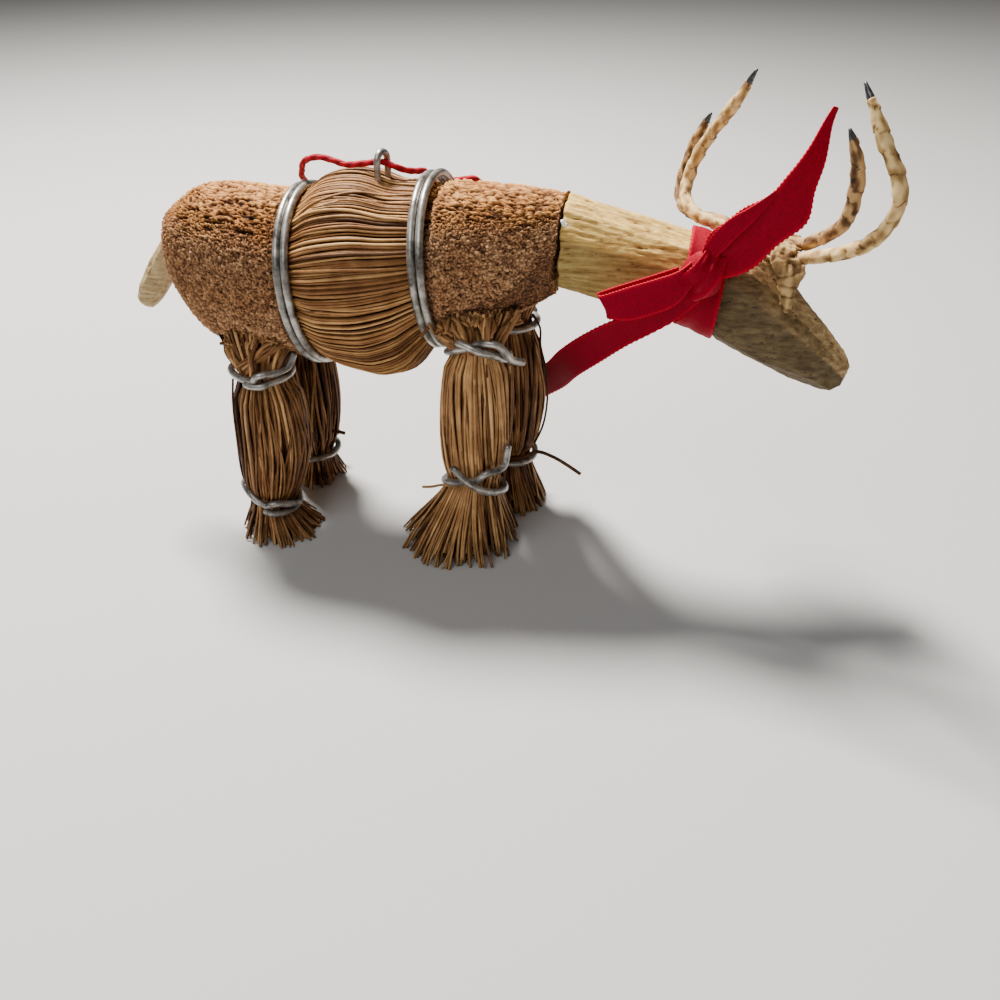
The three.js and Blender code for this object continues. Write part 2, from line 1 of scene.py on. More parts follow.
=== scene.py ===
"""A small reindeer ornament of bound straw, whittled wood, bark-wrapped wire, ribbon and cord."""

import math
import random

import bpy
from mathutils import Matrix, Vector, noise


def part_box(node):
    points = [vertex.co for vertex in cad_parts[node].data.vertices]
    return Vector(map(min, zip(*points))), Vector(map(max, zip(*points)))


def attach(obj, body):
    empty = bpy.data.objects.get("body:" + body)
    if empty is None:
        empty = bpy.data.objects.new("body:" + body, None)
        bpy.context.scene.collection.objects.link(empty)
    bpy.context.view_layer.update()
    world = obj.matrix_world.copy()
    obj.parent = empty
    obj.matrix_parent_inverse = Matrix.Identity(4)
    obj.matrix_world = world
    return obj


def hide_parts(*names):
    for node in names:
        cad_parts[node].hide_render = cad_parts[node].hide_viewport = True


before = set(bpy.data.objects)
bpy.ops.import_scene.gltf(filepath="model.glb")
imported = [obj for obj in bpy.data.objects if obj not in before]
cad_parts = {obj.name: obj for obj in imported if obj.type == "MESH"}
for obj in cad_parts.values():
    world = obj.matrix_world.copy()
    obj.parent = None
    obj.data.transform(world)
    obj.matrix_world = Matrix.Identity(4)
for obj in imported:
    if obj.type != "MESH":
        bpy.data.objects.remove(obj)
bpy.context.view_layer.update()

MM = 0.001
body_low, body_high = (Vector(corner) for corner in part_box("body_bundle"))
REAR_END = -44.4  # the rump's end in the design's own millimetres
# The design's x is counted from between the legs and its y from the body's middle.
SHIFT = Vector((body_low.x - REAR_END * MM, (body_low.y + body_high.y) / 2, 0))


def at(point):
    """A point of the design, in millimetres, as a place in the frame, in metres."""
    return Vector(point) * MM + SHIFT


# ---- camera, light and floor

CAMERA_AT = (54.44, -164.70, 118.02)
CAMERA_RIGHT = Vector((0.97783, 0.20931, 0.00609))
CAMERA_DOWN = Vector((0.12091, -0.54065, -0.83251))
CAMERA_LENS = 34.655
FLOOR_REACH = 3.0  # metres from the middle to each side
FLOOR_COLOUR = (0.50, 0.495, 0.485, 1)
SKY_COLOUR, SKY_STRENGTH = (1.0, 0.98, 0.95, 1), 0.11
# Each: name, place and size in metres, power in watts, colour.
LIGHTS = (
    ("window", (-0.22, 0.20, 0.56), 0.16, 15.5, (1.0, 0.96, 0.90)),
    ("fill", (-0.10, -0.40, 0.52), 0.40, 1.6, (0.96, 0.98, 1.0)),
)
LIGHTS_AIM = (0.0, 0.0, 0.05)


def make_camera():
    data = bpy.data.cameras.new("camera")
    data.lens = CAMERA_LENS
    data.sensor_width = 36
    data.clip_start = 0.005
    camera = bpy.data.objects.new("camera", data)
    bpy.context.scene.collection.objects.link(camera)
    forward = CAMERA_RIGHT.cross(CAMERA_DOWN)
    turn = Matrix((CAMERA_RIGHT, -CAMERA_DOWN, -forward)).transposed()
    camera.matrix_world = Matrix.Translation(at(CAMERA_AT)) @ turn.to_4x4()
    bpy.context.scene.camera = camera


def make_light(name, place, aim, size, power, colour):
    data = bpy.data.lights.new(name, "AREA")
    data.shape = "DISK"
    data.size = size
    data.energy = power
    data.color = colour
    light = bpy.data.objects.new(name, data)
    light.location = place
    light.rotation_euler = (Vector(aim) - Vector(place)).to_track_quat("-Z", "Y").to_euler()
    bpy.context.scene.collection.objects.link(light)


def make_stage():
    mesh = bpy.data.meshes.new("floor")
    corners = [(x * FLOOR_REACH, y * FLOOR_REACH, 0) for x, y in ((-1, -1), (1, -1), (1, 1), (-1, 1))]
    mesh.from_pydata(corners, [], [(0, 1, 2, 3)])
    floor = bpy.data.objects.new("floor", mesh)
    bpy.context.scene.collection.objects.link(floor)
    finish = bpy.data.materials.new("floor")
    finish.use_nodes = True
    shader = finish.node_tree.nodes["Principled BSDF"]
    shader.inputs["Base Color"].default_value = FLOOR_COLOUR
    shader.inputs["Roughness"].default_value = 0.9
    mesh.materials.append(finish)
    world = bpy.data.worlds.new("studio")
    world.use_nodes = True
    background = world.node_tree.nodes["Background"]
    background.inputs["Color"].default_value = SKY_COLOUR
    background.inputs["Strength"].default_value = SKY_STRENGTH
    bpy.context.scene.world = world
    for name, place, size, power, colour in LIGHTS:
        make_light(name, place, LIGHTS_AIM, size, power, colour)


make_camera()
make_stage()

# ---- node materials


class Finish:
    """A material's nodes, added one at a time. An input is a value, a colour or another node's output."""

    def __init__(self, name, **values):
        self.material = bpy.data.materials.new(name)
        self.material.use_nodes = True
        self.tree = self.material.node_tree
        self.shader = self.tree.nodes["Principled BSDF"]
        self.place = self.tree.nodes.new("ShaderNodeTexCoord").outputs["Object"]
        self.feed(self.shader, values)

    def put(self, value, socket):
        if isinstance(value, bpy.types.NodeSocket):
            self.tree.links.new(value, socket)
        elif socket.type == "RGBA":
            socket.default_value = (*value, 1)
        else:
            socket.default_value = value

    def feed(self, node, inputs):
        """A node's inputs by name, with _ for a space."""
        for name, value in inputs.items():
            self.put(value, node.inputs[name.replace("_", " ")])

    def node(self, kind, **inputs):
        node = self.tree.nodes.new("ShaderNode" + kind)
        self.feed(node, inputs)
        return node

    def stretched(self, scale, turn=(0, 0, 0)):
        return self.node("Mapping", Scale=scale, Rotation=turn, Vector=self.place).outputs["Vector"]

    def noise(self, scale, detail=4.0, roughness=0.55, along=None):
        along = along or self.place
        node = self.node("TexNoise", Scale=scale, Detail=detail, Roughness=roughness, Vector=along)
        return node.outputs["Fac"]

    def attribute(self, name):
        node = self.node("Attribute")
        node.attribute_name = name
        return node.outputs["Fac"]

    def ramp(self, source, *stops):
        node = self.node("ValToRGB", Fac=source)
        while len(node.color_ramp.elements) < len(stops):
            node.color_ramp.elements.new(0.5)
        for element, (place, colour) in zip(node.color_ramp.elements, stops):
            element.position = place
            element.color = (*colour, 1)
        return node.outputs["Color"]

    def mix(self, share, first, second, blend="MIX"):
        node = self.node("Mix")
        node.data_type = "RGBA"
        node.blend_type = blend
        for value, place in ((share, 0), (first, 6), (second, 7)):
            self.put(value, node.inputs[place])
        return node.outputs[2]

    def times(self, first, second, share=1.0):
        return self.mix(share, first, second, "MULTIPLY")

    def math(self, operation, first, second):
        node = self.node("Math")
        node.operation = operation
        self.put(first, node.inputs[0])
        self.put(second, node.inputs[1])
        return node.outputs["Value"]

    def weighted(self, first, weight, second, second_weight):
        """Two values, each times its weight, added."""
        return self.math(
            "ADD", self.math("MULTIPLY", first, weight), self.math("MULTIPLY", second, second_weight),
        )

    def colour(self, source):
        self.put(source, self.shader.inputs["Base Color"])

    def roughness(self, source, low, high):
        node = self.node("MapRange", Value=source, To_Min=low, To_Max=high)
        self.put(node.outputs["Result"], self.shader.inputs["Roughness"])

    def bump(self, height, depth):
        node = self.node("Bump", Strength=1.0, Distance=depth, Height=height)
        self.put(node.outputs["Normal"], self.shader.inputs["Normal"])


WHITE = (1.0, 1.0, 1.0)
# How far the whittled pieces fall forward, in degrees.
NECK_FALL, HEAD_FALL, TAIL_FALL = 12.4, 31.8, -54.5


def straw_finish(name, fibre, dark, middle, light):
    """Dry straw: each one its own shade, darker on its flanks that face into the bundle as painted shade,
    with fine fibres along it.
    """
    f = Finish(name, Specular_IOR_Level=0.16)
    fibres = f.noise(1.0, 5.0, 0.6, f.stretched(fibre))
    value = f.weighted(f.attribute("shade"), 0.8, fibres, 0.26)
    tone = f.ramp(value, (0.1, dark), (0.5, middle), (0.9, light))
    blotch = f.ramp(f.noise(260.0, 4.0), (0.40, (0.55, 0.47, 0.42)), (0.6, WHITE))
    # Painted shade: the flanks of each straw that face into the bundle are darkened.
    painted_gap_shade = f.ramp(f.attribute("height"), (0.34, (0.12, 0.09, 0.07)), (0.88, WHITE))
    f.colour(f.times(f.times(tone, blotch, 0.7), painted_gap_shade))
    f.roughness(fibres, 0.36, 0.7)
    f.bump(fibres, 0.0001)
    return f.material


def trimmed_finish():
    """Straw ends trimmed to a surface: coarse grains, with painted shade dark between them and the top
    coloured apart from the sides as painted light.
    """
    f = Finish("trimmed_straw", Roughness=0.9, Specular_IOR_Level=0.2)
    fine = f.noise(2300.0, 5.0, 0.7)
    # Painted shade: low values, in the grain's pits and cracks, are coloured nearly black.
    tone = f.ramp(
        f.weighted(f.attribute("height"), 0.8, fine, 0.4), (0.30, (0.022, 0.010, 0.005)),
        (0.46, (0.15, 0.074, 0.034)), (0.66, (0.40, 0.225, 0.105)), (0.95, (0.74, 0.48, 0.25)),
    )
    patches = f.ramp(f.noise(90.0, 3.0), (0.38, (0.80, 0.70, 0.62)), (0.62, WHITE))
    # Painted light: the top gets a warmer colour factor than the sides.
    painted_light_side_or_top = f.mix(f.attribute("pale"), (1.15, 1.08, 1.08), (1.28, 1.04, 0.68))
    f.colour(f.times(f.times(tone, patches), painted_light_side_or_top))
    f.bump(fine, 0.0003)
    return f.material


def wire_finish(name, dark, light, metallic, scale):
    """Worn metal, duller where it is dark."""
    f = Finish(name, Metallic=metallic)
    wear = f.noise(scale, 6.0, 0.65)
    f.colour(f.ramp(wear, (0.32, dark), (0.72, light)))
    f.roughness(wear, 0.48, 0.24)
    f.bump(f.noise(1800.0, 3.0), 0.00004)
    return f.material


def wood_finish(name, dark, middle, light, grain, flecks, fall, side):
    """Whittled wood with grain, mottle, cuts and dark flecks, times the side colour as painted shade where
    it doesn't face up.
    """
    f = Finish(name, Specular_IOR_Level=0.3)
    turn = (0, math.radians(fall), 0)
    lines = f.noise(1.0, 6.0, 0.62, f.stretched(grain, turn))
    tone = f.ramp(lines, (0.3, dark), (0.5, middle), (0.72, light))
    mottle = f.ramp(f.noise(330.0, 5.0, 0.7), (0.36, (0.70, 0.64, 0.56)), (0.6, WHITE))
    # Darker where the relief is low: in knife nicks, and in the head's slit as painted shade.
    cut = f.ramp(f.attribute("height"), (0.12, (0.30, 0.20, 0.13)), (0.42, WHITE))
    tone = f.times(f.times(tone, mottle, 0.75), cut)
    # Painted light and shade: the top keeps its colour, the rest is times the darker side colour.
    tone = f.times(tone, f.mix(f.attribute("pale"), side, WHITE))
    specks = f.noise(1.0, 4.0, 0.6, f.stretched(flecks, turn))
    f.colour(f.times(tone, f.ramp(specks, (0.30, (0.30, 0.20, 0.12)), (0.37, WHITE)), 0.8))
    f.roughness(lines, 0.55, 0.8)
    f.bump(lines, 0.0002)
    return f.material


def bark_finish(name, dark, middle, light):
    """Bark in patches, darker in its seams and where its lumps dip, as painted shade."""
    f = Finish(name, Roughness=0.75, Specular_IOR_Level=0.25)
    value = f.weighted(f.attribute("height"), 0.62, f.noise(420.0, 5.0, 0.65), 0.45)
    f.colour(f.ramp(value, (0.2, dark), (0.5, middle), (0.75, light)))
    f.bump(f.noise(1500.0, 4.0), 0.0001)
    return f.material


def satin_finish():
    """Red satin with a fine mottled weave and a soft sheen, its edges and the knot's fold crests painted
    brighter as a painted sheen.
    """
    f = Finish(
        "ribbon_satin", Specular_IOR_Level=0.08, Sheen_Weight=0.08, Sheen_Roughness=0.4,
        Sheen_Tint=(1.0, 0.22, 0.28),
    )
    weave = f.noise(2600.0, 3.0, 0.6)
    tone = f.ramp(weave, (0.3, (0.18, 0.0, 0.008)), (0.7, (0.31, 0.0, 0.016)))
    # Painted sheen: the edge value turns the ribbon's edges and the knot's fold crests a brighter red.
    f.colour(f.mix(f.attribute("edge"), tone, (0.48, 0.002, 0.022)))
    f.roughness(weave, 0.52, 0.75)
    f.bump(weave, 0.00005)
    return f.material


def cord_finish():
    """Red twisted yarn, with painted shade darker between its plies."""
    f = Finish("cord_red", Roughness=0.75, Specular_IOR_Level=0.25)
    fluff = f.noise(3200.0, 4.0, 0.65)
    value = f.weighted(f.attribute("height"), 0.7, fluff, 0.3)
    f.colour(f.ramp(value, (0.15, (0.10, 0.0, 0.004)), (0.75, (0.50, 0.004, 0.018))))
    f.bump(fluff, 0.0001)
    return f.material


STRAW_BARREL = straw_finish(
    "straw_barrel", (260, 3600, 3600), (0.08, 0.030, 0.009), (0.34, 0.152, 0.050), (0.80, 0.46, 0.175),
)
STRAW_LEG = straw_finish(
    "straw_leg", (3600, 3600, 240), (0.07, 0.025, 0.008), (0.33, 0.152, 0.054), (0.80, 0.46, 0.19),
)
TRIMMED = trimmed_finish()
GALVANISED = wire_finish("galvanised_wire", (0.055, 0.05, 0.044), (0.60, 0.565, 0.515), 0.65, 420.0)
DARK_WIRE = wire_finish("dark_wire", (0.02, 0.02, 0.024), (0.13, 0.13, 0.14), 0.7, 900.0)
# Each wood's last colour is its side colour, the painted shade on its sides and underside.
NECK_WOOD = wood_finish(
    "neck_wood", (0.33, 0.17, 0.032), (0.72, 0.46, 0.12), (1.0, 0.73, 0.24),
    (110, 1500, 1500), (260, 900, 900), NECK_FALL, (0.50, 0.53, 0.58),
)
HEAD_WOOD = wood_finish(
    "head_wood", (0.20, 0.115, 0.045), (0.42, 0.27, 0.12), (0.66, 0.48, 0.235),
    (300, 1300, 1300), (420, 900, 900), HEAD_FALL, (0.29, 0.30, 0.28),
)
TAIL_WOOD = wood_finish(
    "tail_wood", (0.24, 0.15, 0.06), (0.46, 0.33, 0.16), (0.66, 0.50, 0.28),
    (160, 1500, 1500), (260, 1100, 1100), TAIL_FALL, (0.95, 0.95, 0.95),
)
BARK = bark_finish("bark_cream", (0.08, 0.034, 0.012), (0.40, 0.235, 0.082), (0.76, 0.53, 0.235))
BARK_BROWN = bark_finish("bark_brown", (0.03, 0.013, 0.007), (0.15, 0.075, 0.030), (0.48, 0.29, 0.12))
STRAP_BARK = bark_finish("bark_strap", (0.07, 0.036, 0.013), (0.28, 0.17, 0.064), (0.52, 0.35, 0.145))
SATIN = satin_finish()
CORD_RED = cord_finish()
GLUE = Finish("glue", Base_Color=(0.85, 0.83, 0.78), Roughness=0.4).material

# ---- mesh building


def show(name, mesh, values, material, nodes):
    """A mesh as a smooth piece that replaces CAD nodes, with one value a vertex for each named attribute."""
    for key, column in values.items():
        mesh.attributes.new(key, "FLOAT", "POINT").data.foreach_set("value", column)
    mesh.materials.append(material)
    mesh.polygons.foreach_set("use_smooth", [True] * len(mesh.polygons))
    mesh.validate()
    mesh.update()
    obj = bpy.data.objects.new(name, mesh)
    bpy.context.scene.collection.objects.link(obj)
    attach(obj, "root")
    if nodes:
        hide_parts(*nodes)
    return obj


class Build:
    """Vertices, faces and one value a vertex for each named attribute, gathered for one piece."""

    def __init__(self):
        self.points = []
        self.faces = []
        self.values = {}

    def add(self, points, faces, **values):
        first = len(self.points)
        self.points.extend(points)
        self.faces.extend(tuple(i + first for i in face) for face in faces)
        for name in set(self.values) | set(values):
            column = self.values.setdefault(name, [0.0] * first)
            value = values.get(name, 0.0)
            column.extend(value if hasattr(value, "__len__") else [value] * len(points))

    def piece(self, name, material, slot, nodes=()):
        mesh = bpy.data.meshes.new(name)
        mesh.from_pydata([tuple(at(p)) for p in self.points], [], self.faces)
        return show(name, mesh, self.values, material, nodes)


def clamp(value):
    return min(max(value, 0), 1)


def line_length(line):
    return sum((b - a).length for a, b in zip(line, line[1:]))


def smooth_line(points, steps):
    """Equally spaced points of a centripetal Catmull-Rom line through the given ones."""
    given = [Vector(p) for p in points]
    given = [given[0] * 2 - given[1], *given, given[-1] * 2 - given[-2]]
    dense = []
    for p0, p1, p2, p3 in zip(given, given[1:], given[2:], given[3:]):
        t1 = max((p1 - p0).length, 1e-6) ** 0.5
        t2 = t1 + max((p2 - p1).length, 1e-6) ** 0.5
        t3 = t2 + max((p3 - p2).length, 1e-6) ** 0.5
        for k in range(16):
            t = t1 + (t2 - t1) * k / 16
            a1 = p0.lerp(p1, t / t1)
            a2 = p1.lerp(p2, (t - t1) / (t2 - t1))
            a3 = p2.lerp(p3, (t - t2) / (t3 - t2))
            dense.append(a1.lerp(a2, t / t2).lerp(a2.lerp(a3, (t - t1) / (t3 - t1)), (t - t1) / (t2 - t1)))
    dense.append(given[-2])
    return even_line(dense, steps)


def even_line(points, steps):
    """The broken line through the points, as equally spaced points."""
    spans = [(b - a).length for a, b in zip(points, points[1:])]
    total = sum(spans)
    line = []
    i = 0
    passed = 0.0
    for k in range(steps + 1):
        goal = total * k / steps
        while i < len(spans) - 1 and passed + spans[i] < goal:
            passed += spans[i]
            i += 1
        line.append(points[i].lerp(points[i + 1], min(1, (goal - passed) / max(spans[i], 1e-9))))
    return line


def frames_along(line):
    """Two directions across the line at each of its points, turning as little as they can."""
    tangents = []
    for i in range(len(line)):
        step = line[min(i + 1, len(line) - 1)] - line[max(i - 1, 0)]
        tangents.append(step.normalized())
    across = tangents[0].orthogonal().normalized()
    pairs = []
    for tangent in tangents:
        across = (across - tangent * across.dot(tangent)).normalized()
        pairs.append((across, tangent.cross(across)))
    return pairs


def ring_faces(count, sides, backward=False):
    """The faces between rings and the two that close them, turned over for rings that run backward."""
    walls = []
    for i in range(count - 1):
        for k in range(sides):
            a, b = i * sides + k, i * sides + (k + 1) % sides
            walls.append((a, a + sides, b + sides, b) if backward else (a, b, b + sides, a + sides))
    first, last = range(sides), range((count - 1) * sides, count * sides)
    caps = (first, last[::-1]) if backward else (first[::-1], last)
    return walls, [tuple(cap) for cap in caps]


def tube(line, radius, sides, flat=1.0):
    """Points and faces of a closed tube. The radius may be a function of (share along, side angle)."""
    points = []
    count = len(line)
    for i, (centre, (u, v)) in enumerate(zip(line, frames_along(line))):
        for k in range(sides):
            angle = 2 * math.pi * k / sides
            reach = radius(i / (count - 1), angle) if callable(radius) else radius
            points.append(centre + (u * math.cos(angle) + v * math.sin(angle) * flat) * reach)
    walls, caps = ring_faces(count, sides)
    return points, walls + caps


def standing_out(points, line, axis):
    """How far each point of a tube faces away from the bundle's axis, from 0 inside to 1 outside; the straw
    finish paints low values darker as painted shade.
    """
    sides = len(points) // len(line)
    values = []
    for i, centre in enumerate(line):
        away = (centre - axis(centre)).normalized()
        for p in points[i * sides:(i + 1) * sides]:
            values.append(0.5 + 0.5 * (p - centre).normalized().dot(away))
    return values


def row_at(rows, place):
    """The row of a table at a place along it, with every column passing smoothly through its values."""
    i = next((k for k, row in enumerate(rows) if row[0] > place), len(rows)) - 1
    i = min(max(i, 0), len(rows) - 2)
    start, end = rows[i], rows[i + 1]
    before, after = rows[max(i - 1, 0)], rows[min(i + 2, len(rows) - 1)]
    width = end[0] - start[0]
    t = clamp((place - start[0]) / width)
    values = []
    for c in range(len(start)):
        slope_a = (end[c] - before[c]) / (end[0] - before[0]) * width
        slope_b = (after[c] - start[c]) / (after[0] - start[0]) * width
        values.append(
            (2 * t**3 - 3 * t**2 + 1) * start[c] + (t**3 - 2 * t**2 + t) * slope_a
            + (3 * t**2 - 2 * t**3) * end[c] + (t**3 - t**2) * slope_b
        )
    return values


def smoothstep(value, low, high):
    t = clamp((value - low) / (high - low))
    return t * t * (3 - 2 * t)


def bell(value, middle, width):
    """1 in the middle, falling to 0 on both sides."""
    return math.exp(-(((value - middle) / width) ** 2))


def rounded(angle, power):
    """A point of a squarish circle; a power of 2 makes it round."""
    c, s = math.cos(angle), math.sin(angle)
    return math.copysign(abs(c) ** (2 / power), c), math.copysign(abs(s) ** (2 / power), s)


# ---- hanging cord

CORD_DIAMETER = 1.2
PLY_TURN = 2.3  # the cord's length in one turn of its plies
CORD_ROUTE = [
    (-2.6, 19.9, 46.4), (-6.5, 19.9, 47.0), (-11.0, 19.4, 49.4), (-15.4, 18.3, 53.2), (-19.0, 17.3, 57.6),
    (-20.8, 16.0, 61.4), (-21.4, 13.4, 64.8), (-21.0, 10.4, 67.0), (-20.1, 7.4, 68.5), (-18.8, 4.8, 70.2),
    (-17.4, 2.4, 72.2), (-15.6, 1.0, 73.4), (-13.4, 0.6, 73.9), (-10.8, 0.4, 73.5), (-8.4, 0.2, 73.0),
    (-5.2, 0.0, 73.4), (-1.6, 0.0, 73.9), (0.3, 0.2, 73.3), (2.0, 1.4, 72.4), (3.2, 3.6, 71.7),
    (4.0, 6.4, 71.1), (4.2, 9.2, 69.6), (5.2, 11.6, 68.2), (7.6, 12.8, 67.9), (10.2, 11.6, 68.6),
    (12.2, 11.0, 69.0), (14.0, 12.6, 67.0), (14.4, 14.6, 63.6), (13.4, 16.0, 59.6), (11.0, 17.4, 55.4),
    (7.6, 18.6, 51.4), (4.0, 19.5, 48.4), (0.2, 19.9, 46.6),
]


def knot_loop(middle, turn):
    """One of the knot's three loops, turned about the y axis."""
    loop = []
    for i in range(29):
        a = 2 * math.pi * i / 28
        loop.append(middle + Vector((
            1.35 * math.cos(a) * math.cos(turn) + 0.35 * math.sin(2 * a),
            1.15 * math.sin(a),
            1.35 * math.cos(a) * math.sin(turn) + 0.3 * math.cos(3 * a),
        )))
    return loop


def make_cord():
    """A two-ply twisted cord whose two ends meet in a knot."""
    line = smooth_line(CORD_ROUTE, 420)
    length = line_length(line)
    radius = CORD_DIAMETER / 2

    def ply(share, angle):
        return radius * (0.82 + 0.18 * abs(math.cos(angle + math.pi * length / PLY_TURN * share)))

    points, faces = tube(line, ply, 12)
    # Painted shade: the value is lower between the plies, which the finish paints darker.
    heights = [((p - line[i // 12]).length / radius - 0.82) / 0.18 for i, p in enumerate(points)]
    build = Build()
    build.add(points, faces, height=heights)
    middle = (Vector(CORD_ROUTE[0]) + Vector(CORD_ROUTE[-1])) / 2 + Vector((0, 0.1, -0.1))
    for k in range(3):
        points, faces = tube(knot_loop(middle, k * math.pi / 3), radius * 0.92, 8)
        build.add(points, faces, height=0.7)
    obj = build.piece("hanging_cord_twisted", CORD_RED, "cord", ["hanging_cord"])


make_cord()

# ---- body bundle

# Each: place along x, centre z, half height, half width, lean in degrees, squareness.
BODY = [
    (-44.4, 57.0, 4.4, 4.4, 0, 2.3), (-43.2, 57.0, 7.0, 7.4, 0, 2.3), (-40.9, 56.2, 9.7, 10.4, 1, 2.3),
    (-37.5, 54.7, 13.2, 12.9, 2, 2.3), (-34.5, 53.7, 14.7, 14.1, 3, 2.3), (-32.5, 53.6, 15.0, 14.8, 4, 2.3),
    (-24, 52.9, 15.5, 15.8, 6, 2.2), (-15.5, 52.6, 16.0, 16.1, 7, 2), (-11, 53.3, 17.4, 17.6, 7, 2),
    (-6.5, 53.6, 18.4, 18.5, 7, 2), (-2, 53.5, 18.6, 18.7, 7, 2), (3, 53.9, 16.8, 17.4, 7, 2),
    (8.5, 56.6, 14.8, 15.2, 6, 2), (13, 57.6, 14.0, 14.4, 4, 2.2), (18, 58.8, 12.6, 13.2, 2, 2.3),
    (24, 60.2, 11.0, 11.6, 0, 2.4), (31, 62.0, 8.7, 9.2, -2, 2.4),
]
FRONT_END = BODY[-1][0]
# Each: place along x, centre z and radius of the wire's turns, and the groove they draw the body into.
REAR_BINDING = dict(s=-15.5, z=52.6, ring=16.1, groove_z=52.6, high=15.1, wide=15.1, slack=0)
FRONT_BINDING = dict(s=8.5, z=57.0, ring=15.1, groove_z=56.7, high=13.8, wide=14.1, slack=0.5)
TURN_PITCH = 1.5
WIRE = 1.4
CHEST_FACET_POINT = Vector((25.1, -7, 51.1))
CHEST_FACET_NORMAL = Vector((0.594, -0.688, -0.416)).normalized()
CAP_RINGS = 33
BARREL_LAYERS = ((140, -1.0, 0.12), (200, -0.52, 0.2), (215, -0.16, 0.16))  # straws, depth, scatter of depth


def body_row(s):
    """(centre z, half height, half width, lean, squareness), drawn in under the bindings."""
    _, z, high, wide, lean, power = row_at(BODY, s)
    for binding in (REAR_BINDING, FRONT_BINDING):
        away = abs(s - binding["s"])
        if REAR_BINDING["s"] < s < FRONT_BINDING["s"]:
            share = (1 - clamp((away - 0.7) / 5.5)) ** 2
        else:
            share = 1 - smoothstep(away, 1.0, 2.6)
        z += (binding["groove_z"] - z) * share
        high += (binding["high"] - high) * share
        wide += (binding["wide"] - wide) * share
        power += (2 - power) * share
    return z, high, wide, math.radians(lean), power


def body_point(s, angle, grow=0.0):
    """A point of the body's surface and the way out of it, for an angle from the left side up."""
    z, high, wide, lean, power = body_row(s)
    y, up = rounded(angle, power)
    rise = up * (high + grow)
    point = Vector((s - rise * math.sin(lean), y * (wide + grow), z + rise * math.cos(lean)))
    for side in (-1, 1):
        normal = Vector((CHEST_FACET_NORMAL.x, -side * CHEST_FACET_NORMAL.y, CHEST_FACET_NORMAL.z))
        base = Vector((CHEST_FACET_POINT.x, -side * CHEST_FACET_POINT.y, CHEST_FACET_POINT.z))
        over = (point - base).dot(normal) - grow
        if over > 0:
            point -= normal * over
    return point


def grain(p, top):
    """How far a trimmed surface stands out at p in mm, and how light it is, darker in its pits and cracks as
    painted shade.
    """
    q = Vector((p.x * (0.74 - 0.57 * top), p.y, p.z)) * (2.2 + 0.6 * top)
    near, spots = noise.voronoi(q)
    dome = min((near[1] - near[0]) * 2.4, 1)
    own = noise.noise(spots[0] * 5.3)
    crumb = noise.noise(q * 2.1)
    broad = noise.noise(q * 0.3)
    split = top * smoothstep(noise.noise(Vector((p.x * 0.28, p.y * 1.5, p.z * 1.5))), 0.30, 0.5)
    lift = (0.30 - 0.08 * top) * own + (0.28 + 0.10 * top) * (dome - 0.7)
    tone = 0.50 + (0.42 + 0.3 * top) * (dome - 0.6) + 0.34 * own
    lift += 0.12 * crumb + 0.12 * broad - 0.45 * split
    tone += 0.20 * crumb + 0.08 * broad - 0.5 * split
    return lift, clamp(tone)


def spread(start, end, steps):
    return [start + (end - start) * i / steps for i in range(steps + 1)]


def capped_rings(places, sides, cap_at_start):
    """Rings round the body through the places, and rings that shrink to the middle of one end."""
    rings = [[body_point(s, 2 * math.pi * k / sides) for k in range(sides)] for s in places]
    end = rings[0] if cap_at_start else rings[-1]
    middle = sum(end, Vector()) / sides
    shares = [1 - i / (CAP_RINGS + 1) for i in range(1, CAP_RINGS + 1)]
    caps = [[middle.lerp(p, share) for p in end] for share in shares]
    return caps[::-1] + rings if cap_at_start else rings + caps


def trimmed_end(name, places, sides, cap_at_start, nodes=()):
    """A grainy skin over the body through the places, closed at one end."""
    rings = capped_rings(places, sides, cap_at_start)
    points, heights, painted_light_shares = [], [], []
    for r, ring in enumerate(rings):
        before, after = rings[max(r - 2, 0)], rings[min(r + 2, len(rings) - 1)]
        for k, p in enumerate(ring):
            n = (ring[(k + 2) % sides] - ring[k - 2]).cross(after[k] - before[k]).normalized()
            top = smoothstep(n.z + 0.12 * noise.noise(p * 0.2), 0.45, 0.8)
            flat = smoothstep(n.dot(CHEST_FACET_NORMAL), 0.9, 0.97)
            lift, tone = grain(p, top)
            points.append(p + n * (lift * (1.0 + 0.5 * top - 0.6 * flat) - 0.34 - 0.35 * top))
            # Painted shade: the chest's near flat facet is darkened by 35 percent.
            heights.append(tone * (1 - 0.35 * flat))
            painted_light_shares.append(top)
    walls, caps = ring_faces(len(rings), sides, backward=True)
    build = Build()
    build.add(points, walls + caps, height=heights, pale=painted_light_shares)
    build.piece(name, TRIMMED, "straw", nodes)


def make_trimmed_body():
    """The rump and the chest, each to just under its binding."""
    rump_places = spread(REAR_END, REAR_BINDING["s"] + 1.0, 158)
    chest_places = spread(FRONT_BINDING["s"] - 1.0, FRONT_END, 132)
    trimmed_end("trimmed_rump", rump_places, 480, True, ["body_bundle"])
    trimmed_end("trimmed_chest", chest_places, 470, False)


def body_axis(p):
    return Vector((p.x, 0, row_at(BODY, p.x)[1]))


def straw_shade(rng, middle, scatter):
    return min(max(rng.gauss(middle, scatter), 0.02), 1)


def add_barrel_core(build, start, end):
    """A dark core under the straws, as painted shade seen through their gaps."""
    places, sides = spread(start, end, 16), 48
    points = [body_point(s, 2 * math.pi * k / sides, -1.5) for s in places for k in range(sides)]
    walls, caps = ring_faces(len(places), sides, backward=True)
    build.add(points, walls + caps, shade=0.0, height=0.0)


